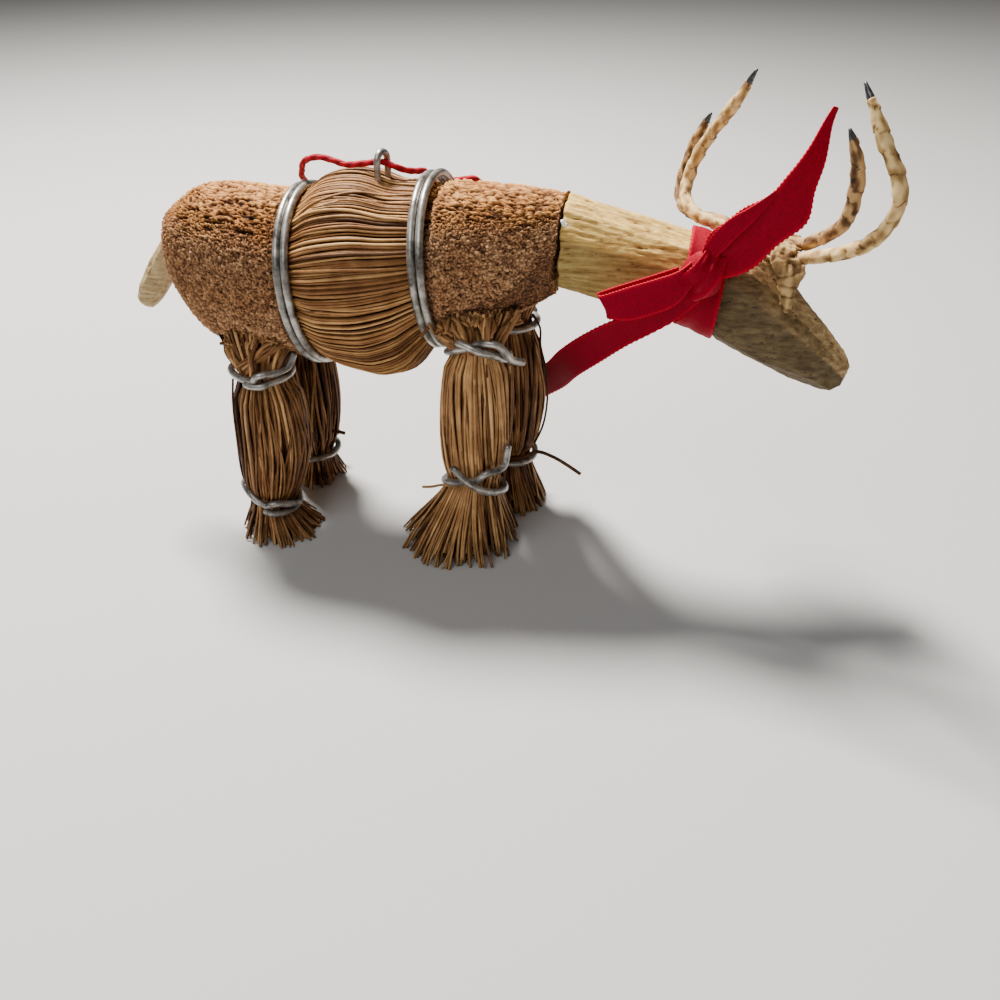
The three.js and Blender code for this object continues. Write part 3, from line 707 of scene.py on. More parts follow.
def barrel_straw(rng, angle, depth, scatter, start, end):
    """The middle line and the width of one straw, level at the sides; a few cross the others."""
    crossing = rng.random() < 0.08
    wander = rng.gauss(0, 0.06 if crossing else 0.009)
    bow = rng.gauss(0, 0.005)
    lift = depth + rng.uniform(-scatter, scatter) + (0.16 if crossing else 0)
    width = rng.uniform(0.18, 0.33)
    phase = rng.uniform(0, 6.28)
    first_z, last_z = body_row(start)[0], body_row(end)[0]
    line = []
    for k in range(19):
        t = k / 18
        s = start + (end - start) * t
        z, high, _, _, _ = body_row(s)
        level = (first_z + (last_z - first_z) * t - z) / high * math.cos(angle)
        turn = angle + level + wander * (t - 0.5) * 2 + bow * math.sin(math.pi * t * 1.4 + phase)
        rise = 0.04 * math.sin(3.0 * t + phase) * math.sin(math.pi * t)
        line.append(body_point(s, turn, lift + rise - 0.1))
    return line, width


def make_barrel():
    """The straws between the bindings, in layers over their core."""
    rng = random.Random(11)
    build = Build()
    start, end = REAR_BINDING["s"] - 0.6, FRONT_BINDING["s"] + 0.6
    add_barrel_core(build, start, end)
    for count, depth, scatter in BARREL_LAYERS:
        for i in range(count):
            angle = 2 * math.pi * (i + rng.uniform(-0.5, 0.5)) / count
            line, width = barrel_straw(rng, angle, depth, scatter, start, end)
            points, faces = tube(line, width, 6, rng.uniform(0.8, 1.0))
            # Painted shade: straws in deeper layers are set darker.
            shade = straw_shade(rng, 0.56 + 0.3 * depth, 0.24)
            build.add(points, faces, shade=shade, height=standing_out(points, line, body_axis))
    build.piece("barrel_straws", STRAW_BARREL, "straw")


make_trimmed_body()
make_barrel()

# ---- legs

# Each leg's rows: height, centre x and y, radius, lean in degrees. Second and last but one are its ties.
LEGS = {
    "right_rear": [
        (0, -24.6, -10.4, 9.2, 0), (7.2, -26.2, -10.3, 4.6, 12), (11, -25.7, -10.2, 6.3, 8),
        (20, -24.5, -9.8, 7.6, 3), (31, -24.7, -9.5, 6.9, 0), (35.4, -25.1, -9.2, 4.6, 0),
        (48, -25.4, -7.8, 6.9, 0),
    ],
    "right_front": [
        (0, 12.6, -6.6, 12.6, 0), (16.6, 16.5, -8.2, 5.0, -4), (20, 16.6, -8.4, 6.2, -3),
        (30, 17.1, -8.9, 7.1, -2), (41, 17.6, -8.9, 6.5, 0), (45.4, 17.8, -8.8, 4.6, 0),
        (56, 17.2, -6.6, 6.3, 0),
    ],
    "left_rear": [
        (0, -26.0, 10.6, 7.5, 0), (7.4, -25.4, 10.2, 4.6, 0), (11, -25.3, 10.0, 6.2, 0),
        (20, -25.1, 9.8, 7.5, 0), (31, -25.0, 9.4, 6.7, 0), (34.8, -25.0, 9.2, 5.2, 0),
        (48, -25.6, 7.6, 6.9, 0),
    ],
    "left_front": [
        (0, 21.2, 10.2, 7.4, 0), (12.6, 19.7, 9.7, 4.7, 0), (16, 20.0, 9.6, 6.0, 0),
        (26, 20.5, 9.3, 6.9, 0), (39, 19.8, 8.9, 6.2, 0), (43.0, 19.4, 8.8, 4.8, 0),
        (56, 17.5, 6.0, 6.3, 0),
    ],
}
LEG_TOP = {"right_rear": 45.5, "right_front": 53.0, "left_rear": 45.5, "left_front": 53.0}
LEG_STRAWS = {"right_rear": 250, "right_front": 310, "left_rear": 180, "left_front": 180}
# Each leg's straw tone, as painted light and shade: the near front leg is set lightest, the near rear and
# far legs darker.
LEG_TONE_AND_PAINTED_SHADE = {"right_rear": 0.24, "right_front": 0.50, "left_rear": 0.14, "left_front": 0.28}
# How far round the leg its straws turn from the foot to the top, in radians.
LEG_TURN = {"right_rear": 0.0, "right_front": -0.60, "left_rear": 0.0, "left_front": 0.0}
GOLDEN_ANGLE = 2.399963  # spreads any number of straws evenly round a leg


def leg_point(rows, z, angle, share):
    """A point in a leg at a height, an angle and a share of the radius; the straws fan out into the body."""
    _, x, y, radius, lean = row_at(rows, z)
    for tie in (rows[1], rows[-2]):
        radius += (tie[3] - radius) * (1 - smoothstep(abs(z - tie[0]), 0.8, 2.4))
    fan = 1 + 0.5 * smoothstep(z, rows[-2][0] + 0.5, rows[-2][0] + 7)
    out = radius * share * math.cos(angle) * fan
    return Vector((
        x + out * math.cos(math.radians(lean)),
        y + radius * share * math.sin(angle),
        z - out * math.sin(math.radians(lean)),
    ))


def tapered(width):
    """A straw's radius, a little thinner in the foot."""
    def reach(share, _angle):
        return width * (0.82 + 0.18 * smoothstep(share, 0, 0.3))
    return reach


def raised(points, lowest):
    return [Vector((p.x, p.y, max(p.z, lowest))) for p in points]


def add_leg_core(build, rows, top):
    """A dark core in the middle of the straws, as painted shade seen between them."""
    line = [leg_point(rows, 0.6 + (top - 1.2) * k / 24, 0, 0) for k in range(25)]

    def reach(share, _angle):
        return row_at(rows, 0.6 + (top - 1.2) * share)[3] * 0.6

    points, faces = tube(line, reach, 14)
    build.add(raised(points, 0.3), faces, shade=0.0, height=0.0)


def leg_straw(rng, name, rows, angle):
    """One straw's middle line, its share of the leg's radius and its width; some end above the sole."""
    share = math.sqrt(rng.uniform(0.42, 1.0)) * 0.985
    width = rng.uniform(0.23, 0.38)
    foot = rng.uniform(0.0, 0.4) if rng.random() < 0.72 else rng.uniform(0.3, 4.0)
    head = LEG_TOP[name] - rng.uniform(0, 1.5)
    wander = rng.gauss(LEG_TURN[name], 0.20)
    cross = rng.gauss(0, 0.12)
    splay = rng.uniform(0.88, 1.12) if share > 0.8 else rng.uniform(0.8, 1.12)
    phase = rng.uniform(0, 6.28)
    bent = rng.uniform(2, 5)
    line = []
    for k in range(20):
        t = k / 19
        z = foot + (head - foot) * t
        widening = 1 + (splay - 1) * (1 - smoothstep(z, 0, rows[1][0]))
        wave = 0.025 * math.sin(bent * t + phase)
        turn = angle + wander * (t - 0.4) + cross * math.sin(2 * math.pi * t + phase)
        line.append(leg_point(rows, z, turn, (share - 0.05 + wave) * widening))
    return raised(line, 0.02), share, width


def make_leg(name, rows, seed):
    """Straws from the sole up through both ties, round a dark core of painted shade, paler at their cut
    lower ends.
    """
    rng = random.Random(seed)
    build = Build()
    add_leg_core(build, rows, LEG_TOP[name])

    def axis(p):
        _, x, y, _, _ = row_at(rows, p.z)
        return Vector((x, y, p.z))

    for i in range(LEG_STRAWS[name]):
        angle = GOLDEN_ANGLE * i + rng.uniform(-0.25, 0.25)
        line, share, width = leg_straw(rng, name, rows, angle)
        points, faces = tube(line, tapered(width), 5, rng.uniform(0.75, 1.0))
        points = raised(points, 0.0)
        # Painted shade: straws deeper in the leg are set darker.
        shade = straw_shade(rng, LEG_TONE_AND_PAINTED_SHADE[name] + 0.16 * share, 0.27)
        shades = [min(shade + 0.4, 1)] * 5 + [shade] * (len(points) - 5)
        build.add(points, faces, shade=shades, height=standing_out(points, line, axis))
    return build


# Straws that bend out of the trimmed body into a near leg: start, middle, end, scatter and count.
BENT_STRAWS = {
    "right_front": [
        ((9.6, -10.6, 49.6), (12.0, -12.8, 48.0), (15.4, -13.0, 45.6), 1.0, 18),
        ((14.0, -11.4, 51.4), (15.6, -14.0, 50.0), (17.4, -13.4, 46.0), 1.3, 16),
        ((19.4, -10.4, 51.6), (20.4, -13.6, 50.4), (19.4, -13.3, 46.6), 1.2, 20),
        ((24.2, -9.4, 51.2), (23.4, -11.6, 50.0), (21.2, -12.0, 46.2), 1.1, 16),
    ],
    "right_rear": [
        ((-30.6, -10.0, 42.4), (-30.0, -12.2, 41.0), (-27.4, -13.2, 37.0), 1.0, 16),
        ((-17.4, -10.6, 43.6), (-21.0, -13.4, 42.2), (-27.0, -13.6, 37.8), 1.0, 18),
        ((-24.0, -11.4, 43.8), (-24.4, -14.0, 42.0), (-24.4, -14.0, 37.2), 1.3, 18),
        ((-18.4, -10.2, 42.8), (-19.6, -12.4, 41.4), (-21.6, -13.0, 37.0), 1.0, 12),
    ],
}
# Short cut ends along the trimmed body's lower edge: (from, to, count).
CHIPS = {
    "right_front": ((9.8, -13.4, 49.4), (18.4, -12.4, 51.4), 70),
    "right_rear": ((-29.0, -12.4, 43.0), (-19.0, -12.8, 44.4), 60),
}


def scattered(rng, size):
    return Vector([rng.gauss(0, size) for _ in range(3)])


def add_bent_straws(build, name, rng):
    for *places, scatter, count in BENT_STRAWS[name]:
        for _ in range(count):
            shifts = [scattered(rng, scatter * share) for share in (0.8, 0.45, 0.5)]
            line = smooth_line([Vector(p) + shift for p, shift in zip(places, shifts)], 10)
            points, faces = tube(line, rng.uniform(0.24, 0.38), 5)
            shade = straw_shade(rng, 0.5, 0.2)
            build.add(points, faces, shade=shade, height=rng.uniform(0.55, 0.95))


def add_chips(build, name, rng):
    first, last, count = CHIPS[name]
    for _ in range(count):
        centre = Vector(first).lerp(Vector(last), rng.random()) + scattered(rng, 0.55)
        way = Vector((rng.gauss(0.5, 0.6), rng.gauss(-0.3, 0.4), rng.gauss(-0.5, 0.5))).normalized()
        half = rng.uniform(0.5, 1.4)
        points, faces = tube([centre - way * half, centre, centre + way * half], rng.uniform(0.2, 0.36), 5)
        build.add(points, faces, shade=rng.uniform(0.3, 0.85), height=rng.uniform(0.5, 0.9))


# Single dark fibres and stray straws outside the bundles: (points, thickness, shade).
STRAYS = {
    "right_rear": [
        ([(-29.7, -13.0, 35.1), (-29.9, -14.0, 31.0), (-30.0, -14.5, 25.8), (-30.0, -14.5, 19.0),
          (-29.4, -14.0, 13.3), (-27.3, -14.6, 10.4)], 0.22, 0.0),
    ],
    "right_front": [
        ([(14.0, -12.6, 16.4), (11.4, -13.5, 17.1), (9.4, -14.1, 16.8), (7.5, -14.5, 16.7)], 0.26, 0.8),
    ],
    "left_front": [
        ([(24.6, 6.6, 45.4), (26.2, 6.2, 43.0), (26.3, 7.0, 38.9), (27.4, 8.0, 33.1), (27.8, 8.5, 26.2),
          (27.1, 8.5, 20.3), (25.4, 8.6, 15.6)], 0.24, 0.0),
        ([(21.0, 3.9, 14.4), (23.7, 3.5, 15.0), (26.8, 4.0, 16.4), (30.0, 5.0, 15.0), (32.9, 6.0, 12.8),
          (35.6, 7.0, 10.4)], 0.42, 0.1),
    ],
    "left_rear": [([(-20.4, 9.0, 12.6), (-18.6, 9.0, 12.7), (-17.0, 9.0, 12.5)], 0.4, 0.05)],
}


def make_legs():
    for seed, (name, rows) in enumerate(LEGS.items(), 21):
        build = make_leg(name, rows, seed)
        if name in BENT_STRAWS:
            rng = random.Random(seed + 40)
            add_bent_straws(build, name, rng)
            add_chips(build, name, rng)
        for points, thick, shade in STRAYS.get(name, []):
            build.add(*tube(smooth_line(points, 30), thick, 6), shade=shade, height=0.7)
        build.piece(f"leg_straws_{name}", STRAW_LEG, "straw", [f"leg_{name}"])


make_legs()

# ---- wires

# The far legs' ties: the direction they close in, in degrees, and which way up their ends cross.
FAR_TIES = {"low": (100, 1), "high": (95, -1)}
FAR_LEGS = ("left_rear", "left_front")
# A far tie from end to end: degrees round from where it closes, how far off the ring, how high.
TIE_PATH = (
    (26, 1.9, 2.3), (13, 1.8, 1.6), (-5, 1.3, 1.0), (-32, 0, 0.4), (-75, 0, 0.1), (-120, 0, 0), (-160, 0, 0),
    (-200, 0, 0), (-240, 0, 0), (-285, 0, -0.1), (-325, 0, -0.5), (-352, 0.1, -1.0), (-374, 1.2, -1.0),
    (-389, 1.8, -0.3), (-400, 2.0, 1.0),
)
# The near legs' ties as the photo shows them, from one cut end round the leg to the other.
NEAR_TIES = {
    "right_front": {
        "low": [
            (13.8, -15.3, 22.6), (15.1, -15.8, 21.6), (16.4, -15.9, 20.3), (17.7, -15.6, 19.1),
            (19.1, -14.9, 17.9), (20.3, -13.4, 16.6), (21.8, -11.0, 15.4), (22.5, -8.2, 14.4),
            (21.4, -4.8, 13.8), (18.2, -2.4, 13.6), (14.2, -2.9, 13.9), (11.2, -5.6, 14.7),
            (10.7, -9.4, 15.9), (12.0, -12.4, 17.2), (14.2, -13.8, 18.2), (16.2, -14.1, 18.9),
            (17.9, -14.2, 19.4), (19.0, -14.6, 20.3), (19.9, -14.8, 21.3), (20.9, -14.3, 21.6),
            (22.0, -13.3, 21.6), (22.9, -12.2, 21.8), (23.3, -11.7, 22.8), (23.6, -11.5, 24.9),
            (23.8, -11.4, 26.4),
        ],
        "high": [
            (14.8, -14.3, 47.7), (16.2, -14.9, 47.6), (17.9, -15.3, 47.2), (19.7, -15.2, 46.5),
            (21.0, -14.2, 45.9), (21.9, -12.7, 44.9), (22.7, -11.0, 43.8), (23.1, -8.6, 43.0),
            (22.0, -5.2, 42.6), (18.6, -3.5, 42.5), (14.8, -4.4, 42.6), (12.5, -7.2, 42.9),
            (12.1, -10.2, 43.8), (13.6, -12.5, 45.1), (15.6, -13.7, 46.2), (17.4, -14.0, 46.9),
            (19.1, -14.0, 47.6), (20.5, -14.3, 48.0), (21.9, -14.1, 47.8), (22.8, -13.6, 46.9),
            (23.4, -12.8, 45.6), (24.0, -11.5, 44.1), (24.8, -9.8, 43.0), (25.9, -8.2, 42.2),
        ],
    },
    "right_rear": {
        "low": [
            (-20.2, -11.4, 6.9), (-21.5, -14.2, 8.3), (-22.9, -15.9, 9.2), (-24.1, -16.4, 9.0),
            (-25.0, -16.2, 8.6), (-26.8, -16.2, 9.4), (-28.2, -15.7, 10.3), (-30.2, -14.0, 11.0),
            (-31.8, -11.2, 10.6), (-31.6, -7.6, 9.8), (-29.0, -5.0, 8.8), (-25.4, -4.8, 7.6),
            (-22.2, -6.6, 6.8), (-20.9, -9.6, 6.2), (-21.6, -12.8, 5.9), (-22.9, -14.9, 6.3),
            (-24.2, -16.2, 6.9), (-25.6, -16.7, 7.7),
        ],
        "high": [
            (-17.9, -9.9, 40.5), (-18.4, -10.7, 39.0), (-18.9, -11.4, 38.0), (-19.8, -12.8, 37.7),
            (-21.2, -14.4, 37.6), (-22.4, -15.3, 37.7), (-23.5, -15.7, 37.4), (-24.0, -15.5, 36.6),
            (-25.4, -14.9, 36.0), (-27.4, -14.4, 36.2), (-29.4, -13.2, 36.5), (-30.8, -10.8, 36.4),
            (-30.6, -7.2, 35.8), (-28.2, -4.6, 35.2), (-24.6, -4.0, 35.0), (-21.2, -5.4, 35.2),
            (-19.6, -8.6, 35.6), (-20.2, -12.0, 35.6), (-21.6, -14.2, 35.6), (-22.8, -15.3, 35.3),
            (-24.6, -15.6, 35.3), (-26.4, -15.2, 35.5),
        ],
    },
}
GAP = 0.3  # between a far leg and its tie
EYE_X, EYE_ARC_Z, EYE_FOOT_Z, EYE_HALF = -1.6, 74.0, 69.0, 1.6
EYE_TURN, EYE_WIRE = math.radians(74), 1.2


def binding_line(binding):
    """Two turns side by side, changing over low on the left side."""
    first, last, per_turn, start = 0.05, 1.95, 26, math.radians(-30)
    lean = math.radians(row_at(BODY, binding["s"])[4])
    steps = round((last - first) * per_turn)
    line = []
    for i in range(steps + 1):
        turn = first + (last - first) * i / steps
        angle = start + turn * 2 * math.pi
        second = smoothstep(turn, 0.95, 1.05)
        loose = binding["slack"] * second * bell(turn, 1.28, 0.06)
        along = (second - 0.5) * TURN_PITCH + 0.5 * loose
        radius = binding["ring"] + 0.3 * loose
        rise = radius * math.sin(angle)
        line.append(Vector((
            binding["s"] + along * math.cos(lean) - rise * math.sin(lean),
            radius * math.cos(angle),
            binding["z"] + along * math.sin(lean) + rise * math.cos(lean),
        )))
    return line


def tie_line(row, facing, way_up):
    """Once round a far leg, its ends hooked over each other where it faces and bent away."""
    z, x, y, radius, lean = row
    lean = math.radians(lean)
    line = []
    for turn, off, height in TIE_PATH:
        angle = math.radians(facing + turn)
        ring = radius + GAP + WIRE / 2 + off
        out = ring * math.cos(angle)
        up = height * way_up
        line.append(Vector((
            x + out * math.cos(lean) + up * math.sin(lean),
            y + ring * math.sin(angle),
            z - out * math.sin(lean) + up * math.cos(lean),
        )))
    return line


def eye_line():
    """The staple in the body's top, up one side, over and down the other."""
    middle_z = (EYE_FOOT_Z + EYE_ARC_Z) / 2
    path = [(-EYE_HALF, EYE_FOOT_Z), (-EYE_HALF, middle_z)]
    for i in range(7):
        angle = math.pi - math.pi * i / 6
        path.append((EYE_HALF * math.cos(angle), EYE_ARC_Z + EYE_HALF * math.sin(angle)))
    path += [(EYE_HALF, middle_z), (EYE_HALF, EYE_FOOT_Z)]
    c, s = math.cos(EYE_TURN), math.sin(EYE_TURN)
    return [Vector((EYE_X + across * c, across * s, z)) for across, z in path]


def rounded_wire(radius, length):
    """A wire's radius, with its two cut ends rounded off."""
    def reach(share, _angle):
        from_end = min(share, 1 - share) * length
        return radius * min(1, 0.55 + 0.45 * (from_end / (radius * 0.6)) ** 0.5)
    return reach


def make_wire(name, route, diameter, steps, node):
    line = smooth_line(route, steps)
    build = Build()
    build.add(*tube(line, rounded_wire(diameter / 2, line_length(line)), 12))
    build.piece(name, GALVANISED, "galvanised_wire", [node])


def make_wires():
    """The two bindings, each leg's low and high tie, and the eye."""
    for end, binding in (("rear", REAR_BINDING), ("front", FRONT_BINDING)):
        make_wire(f"{end}_binding_wire", binding_line(binding), WIRE, 260, f"body_binding_{end}")
    for leg, ties in NEAR_TIES.items():
        for end, route in ties.items():
            make_wire(f"tie_wire_{leg}_{end}", route, WIRE, 170, f"tie_{leg}_{end}")
    for leg in FAR_LEGS:
        for end, (facing, way_up) in FAR_TIES.items():
            route = tie_line(LEGS[leg][1 if end == "low" else -2], facing, way_up)
            make_wire(f"tie_wire_{leg}_{end}", route, WIRE, 120, f"tie_{leg}_{end}")
    make_wire("eye_wire", eye_line(), EYE_WIRE, 70, "hanging_eye")


make_wires()

# ---- whittled wood

VOXEL, STRAP_VOXEL = 0.32, 0.2


def even_mesh(node, voxel):
    """A CAD piece as a fine and even mesh."""
    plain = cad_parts[node].data.copy()
    obj = bpy.data.objects.new(node + "_fine", plain)
    bpy.context.scene.collection.objects.link(obj)
    remesh = obj.modifiers.new("even_mesh", "REMESH")
    remesh.mode = "VOXEL"
    remesh.voxel_size = voxel * MM
    soften = obj.modifiers.new("soften", "SMOOTH")
    soften.iterations = 1
    soften.factor = 0.5
    graph = bpy.context.evaluated_depsgraph_get()
    fine = bpy.data.meshes.new_from_object(obj.evaluated_get(graph))
    bpy.data.objects.remove(obj)
    bpy.data.meshes.remove(plain)
    fine.materials.clear()
    fine.polygons.foreach_set("material_index", [0] * len(fine.polygons))
    return fine


def carved_copy(node, name, material, relief, voxel=VOXEL):
    """A fine copy of a CAD piece, worked over by a function from place and way out to rise and shades."""
    fine = even_mesh(node, voxel)
    moved, heights, painted_light_shares = [], [], []
    for vertex in fine.vertices:
        rise, height, pale = relief((vertex.co - SHIFT) / MM, vertex.normal)
        moved.extend(vertex.co + vertex.normal * rise * MM)
        heights.append(height)
        painted_light_shares.append(pale)
    fine.vertices.foreach_set("co", moved)
    show(name, fine, {"height": heights, "pale": painted_light_shares}, material, [node])


def turned(p, degrees):
    """p in axes turned with a piece that falls forward by some degrees."""
    c, s = math.cos(math.radians(degrees)), math.sin(math.radians(degrees))
    return Vector((p.x * c - p.z * s, p.y, p.x * s + p.z * c))


# Flat knife cuts on the head: a point on each and the way it faces, the same on both sides.
HEAD_FACETS = [
    ((72.7, 0, 55.9), (0.68, 0, 0.73)), ((76.8, 0, 51.3), (0.74, 0, 0.67)),
    ((65.2, 0, 62.2), (0.30, 0, 0.95)), ((70.5, -4.0, 54.5), (0.56, -0.62, 0.55)),
    ((67.4, -5.7, 51.2), (0.10, -0.99, -0.04)), ((76.9, -4.6, 45.7), (0.34, -0.93, -0.12)),
    ((69.9, -4.6, 44.5), (-0.22, -0.62, -0.75)), ((82.1, -2.3, 42.9), (0.93, -0.30, -0.20)),
    ((61.0, -6.0, 56.6), (-0.05, -0.99, 0.08)),
]
# Head faces turned this way are left lighter, as painted light.
BRIDGE = Vector((0.71, 0, 0.70))  # the way the top of the head faces
HEAD_SLIT = (Vector((64.2, -6.6, 62.5)), Vector((67.4, -6.4, 57.4)))


def past_facets(p, normal):
    """How far along its normal p has to go back to be behind every facet."""
    back = 0.0
    for point, way in HEAD_FACETS:
        for side in (1, -1):
            facing = Vector((way[0], way[1] * side, way[2])).normalized()
            over = (p - Vector((point[0], point[1] * side, point[2]))).dot(facing)
            if over > 0 and normal.dot(facing) > 0.2:
                back = max(back, over / max(normal.dot(facing), 0.5))
    return min(back, 1.4)


def in_slit(p):
    """How deep p lies in the head's slit, from 0 beside it to 1 in it."""
    start, end = HEAD_SLIT
    share = clamp((p - start).dot(end - start) / (end - start).length_squared)
    return 1 - smoothstep((p - start.lerp(end, share)).length, 0.25, 0.75)


def whittled(fall, along, across, depth, is_head=False):
    """Shallow knife cuts and grain along a piece that falls forward by some degrees; its top, on the head
    the bridge, is left lighter than the sides as painted light and shade.
    """
    def relief(p, normal):
        q = turned(p, fall)
        near = noise.voronoi(Vector((q.x * 0.09, q.y * 0.32, q.z * 0.32)))[0]
        scoop = min(near[0] * 1.4, 1)
        lines = noise.noise(Vector((q.x * along, q.y * across, q.z * across)))
        fine = noise.noise(Vector((q.x * 0.9, q.y * 3.0, q.z * 3.0)))
        nick_at = Vector((q.x * along * 1.4, q.y * across * 1.9, q.z * across * 1.9 + 40))
        nick = smoothstep(noise.noise(nick_at), 0.38, 0.6)
        rise = depth * (1.2 * (scoop - 0.5) + 0.5 * lines + 0.25 * fine - 0.7 * nick)
        height = 0.55 + 0.3 * lines + 0.15 * fine - 0.34 * nick
        if not is_head:
            # Painted light share: 1 on top, falling to 0 on the sides and underside.
            return rise, clamp(height), smoothstep(normal.z, -0.1, 0.6)
        slit = in_slit(p)
        rise -= past_facets(p, normal)
        rise -= 0.7 * slit
        # Painted shade: the slit is painted dark.
        height *= 1 - slit
        return rise, clamp(height), smoothstep(normal.dot(BRIDGE), 0.2, 0.62)
    return relief


def creased(p, _normal):
    """A strap of bark, ridged along its length and cracked across in a few places."""
    ridge = noise.noise(Vector((p.x * 1.3, p.y * 1.3, p.z * 0.22)))
    crack = 1 - min(abs(noise.noise(Vector((p.x * 0.12, p.y * 0.2, p.z * 0.42 + 3)))) * 9, 1)
    rough = noise.fractal(p * 0.8, 0.9, 2.0, 3)
    rise = 0.30 * ridge - 0.26 * crack + 0.14 * rough
    return rise, clamp(0.62 + 0.5 * ridge - 0.6 * crack + 0.25 * rough), 1.0


# The antlers' wires, each from one tip down behind the head and up to the other tip.
LONG_ANTLER = [
    (60.2, 12.5, 89.4), (57.3, 14.5, 83.3), (54.5, 16.0, 78.7), (52.1, 16.5, 74.0), (50.9, 16.0, 69.7),
    (50.9, 13.5, 67.4), (52.9, 9.5, 65.9), (57.0, 5.8, 65.4), (61.5, 2.6, 64.6), (66.0, -0.9, 63.9),
    (70.4, -4.0, 63.6), (72.7, -6.0, 64.8), (76.5, -10.0, 67.1), (79.7, -14.0, 70.6), (81.4, -16.0, 74.3),
    (81.7, -17.0, 78.1), (80.7, -16.0, 81.2), (78.6, -15.0, 84.5), (76.9, -14.0, 87.8), (74.4, -12.0, 92.3),
]
SHORT_ANTLER = [
    (53.6, 22.0, 80.3), (51.6, 23.0, 75.8), (50.7, 23.0, 72.4), (49.8, 22.5, 68.8), (49.6, 21.0, 66.4),
    (50.8, 17.3, 64.6), (53.6, 13.6, 64.2), (57.2, 10.4, 64.6), (60.9, 7.0, 64.6), (64.6, 3.4, 64.7),
    (68.4, 0.3, 64.9), (70.9, -2.0, 65.4), (74.1, -5.0, 68.0), (76.1, -8.5, 71.6), (76.3, -11.0, 76.4),
    (75.9, -12.0, 80.2), (74.7, -12.5, 83.7), (73.5, -12.5, 86.1),
]
LONG_BARE_TIP, SHORT_BARE_TIP = 2.4, 1.6
ANTLER_STEPS = 420
LAP = 3.4  # from one lap of bark to the next


def make_bark(name, wrap, inside, bark):
    """Bark wound in laps along the middle line of a wrap, which is some millimetres long."""
    def lap(share, angle):
        """The place across one lap, from its raised edge at 0 to where the next one covers it at 1."""
        wobble = 0.5 * noise.noise(Vector((share * inside * 0.5, math.cos(angle), math.sin(angle))))
        return (share * inside / LAP + angle / (2 * math.pi) + wobble) % 1

    def lumps(share, angle):
        return noise.noise(Vector((share * inside * 0.55, 1.1 * math.cos(angle), 1.1 * math.sin(angle) + 7)))

    def reach(share, angle):
        from_end = min(share, 1 - share) * inside
        taper = 0.60 + 0.40 * smoothstep(from_end, 0, 5.5)
        edge = smoothstep(lap(share, angle), 0.0, 0.08)
        return taper * (1 + 0.2 * lumps(share, angle)) + 0.2 * (edge - lap(share, angle))

    sides = 22
    points, faces = tube(wrap, reach, sides)
    heights = []
    for i in range(len(points)):
        share, angle = (i // sides) / (len(wrap) - 1), 2 * math.pi * (i % sides) / sides
        place = lap(share, angle)
        # Painted shade: darker in the seam under each lap and where the lumps dip.
        painted_seam_shade = 1 - smoothstep(place, 0.0, 0.12) * smoothstep(1 - place, 0.0, 0.05)
        heights.append(clamp(0.66 - 0.6 * painted_seam_shade + 0.75 * lumps(share, angle)))
    build = Build()
    build.add(points, faces, height=heights)
    build.piece(f"bark_wrap_{name}", bark, "bark", [f"antler_bark_{name}"])


def make_antler(name, route, bark, bare_tip):
    """A wire wrapped in bark, whose two tips stay bare and taper to a point."""
    line = smooth_line(route, ANTLER_STEPS)
    length = line_length(line)
    bare = round(bare_tip / length * ANTLER_STEPS)
    make_bark(name, line[bare:-bare], length - 2 * bare_tip, bark)
    tip = bare_tip / length

    def reach(share, _angle):
        return 0.22 + 0.38 * smoothstep(min(share, 1 - share), -0.2 * tip, 1.1 * tip)

    wire = Build()
    wire.add(*tube(line[::2], reach, 8))
    wire.piece(f"antler_wire_{name}_tapered", DARK_WIRE, "dark_wire", [f"antler_wire_{name}"])


def make_glue():
    """A fleck of dried glue at the top of the joint between neck and chest."""
    noise.seed_set(1)  # noise_vector differs from run to run without a seed
    build = Build()
    line = smooth_line([(31.5, -8.5, 68.6), (31.9, -8.7, 68.5), (32.3, -8.9, 68.0), (32.7, -9.0, 68.1)], 14)
    points, faces = tube(line, lambda share, _angle: 0.12 + 0.24 * math.sin(math.pi * share) ** 0.6, 10)
    points = [p + noise.noise_vector(p * 1.6) * 0.22 for p in points]
    build.add(points, faces)
    build.piece("glue_fleck", GLUE, "pale_wood")


def make_wood():
    make_glue()
    carved_copy("neck", "whittled_neck", NECK_WOOD, whittled(NECK_FALL, 0.2, 1.5, 0.36))
    carved_copy("head", "whittled_head", HEAD_WOOD, whittled(HEAD_FALL, 0.8, 2.0, 0.2, True))
    carved_copy("tail_peg", "whittled_tail", TAIL_WOOD, whittled(TAIL_FALL, 0.2, 1.4, 0.24))
    carved_copy("head_strap", "bark_strap", STRAP_BARK, creased, STRAP_VOXEL)
    make_antler("long", LONG_ANTLER, BARK, LONG_BARE_TIP)
    make_antler("short", SHORT_ANTLER, BARK_BROWN, SHORT_BARE_TIP)


make_wood()

# ---- ribbon

RIBBON_THICK = 0.32
PICOT = 0.02  # a picot bump, as a share of the ribbon's width
# The turn round the joint, by its two edges: place along x, centre z, half height, half width.
BAND_EDGES = ((52.3, 57.8, 8.6, 8.5), (58.8, 55.8, 9.0, 8.5))
BAND_STEPS = 48
BAND_LEAN = math.radians(5)
KNOT_CENTRE = Vector((55.4, -10.5, 61.6))
KNOT_SIZE = Vector((3.4, 2.3, 3.9))
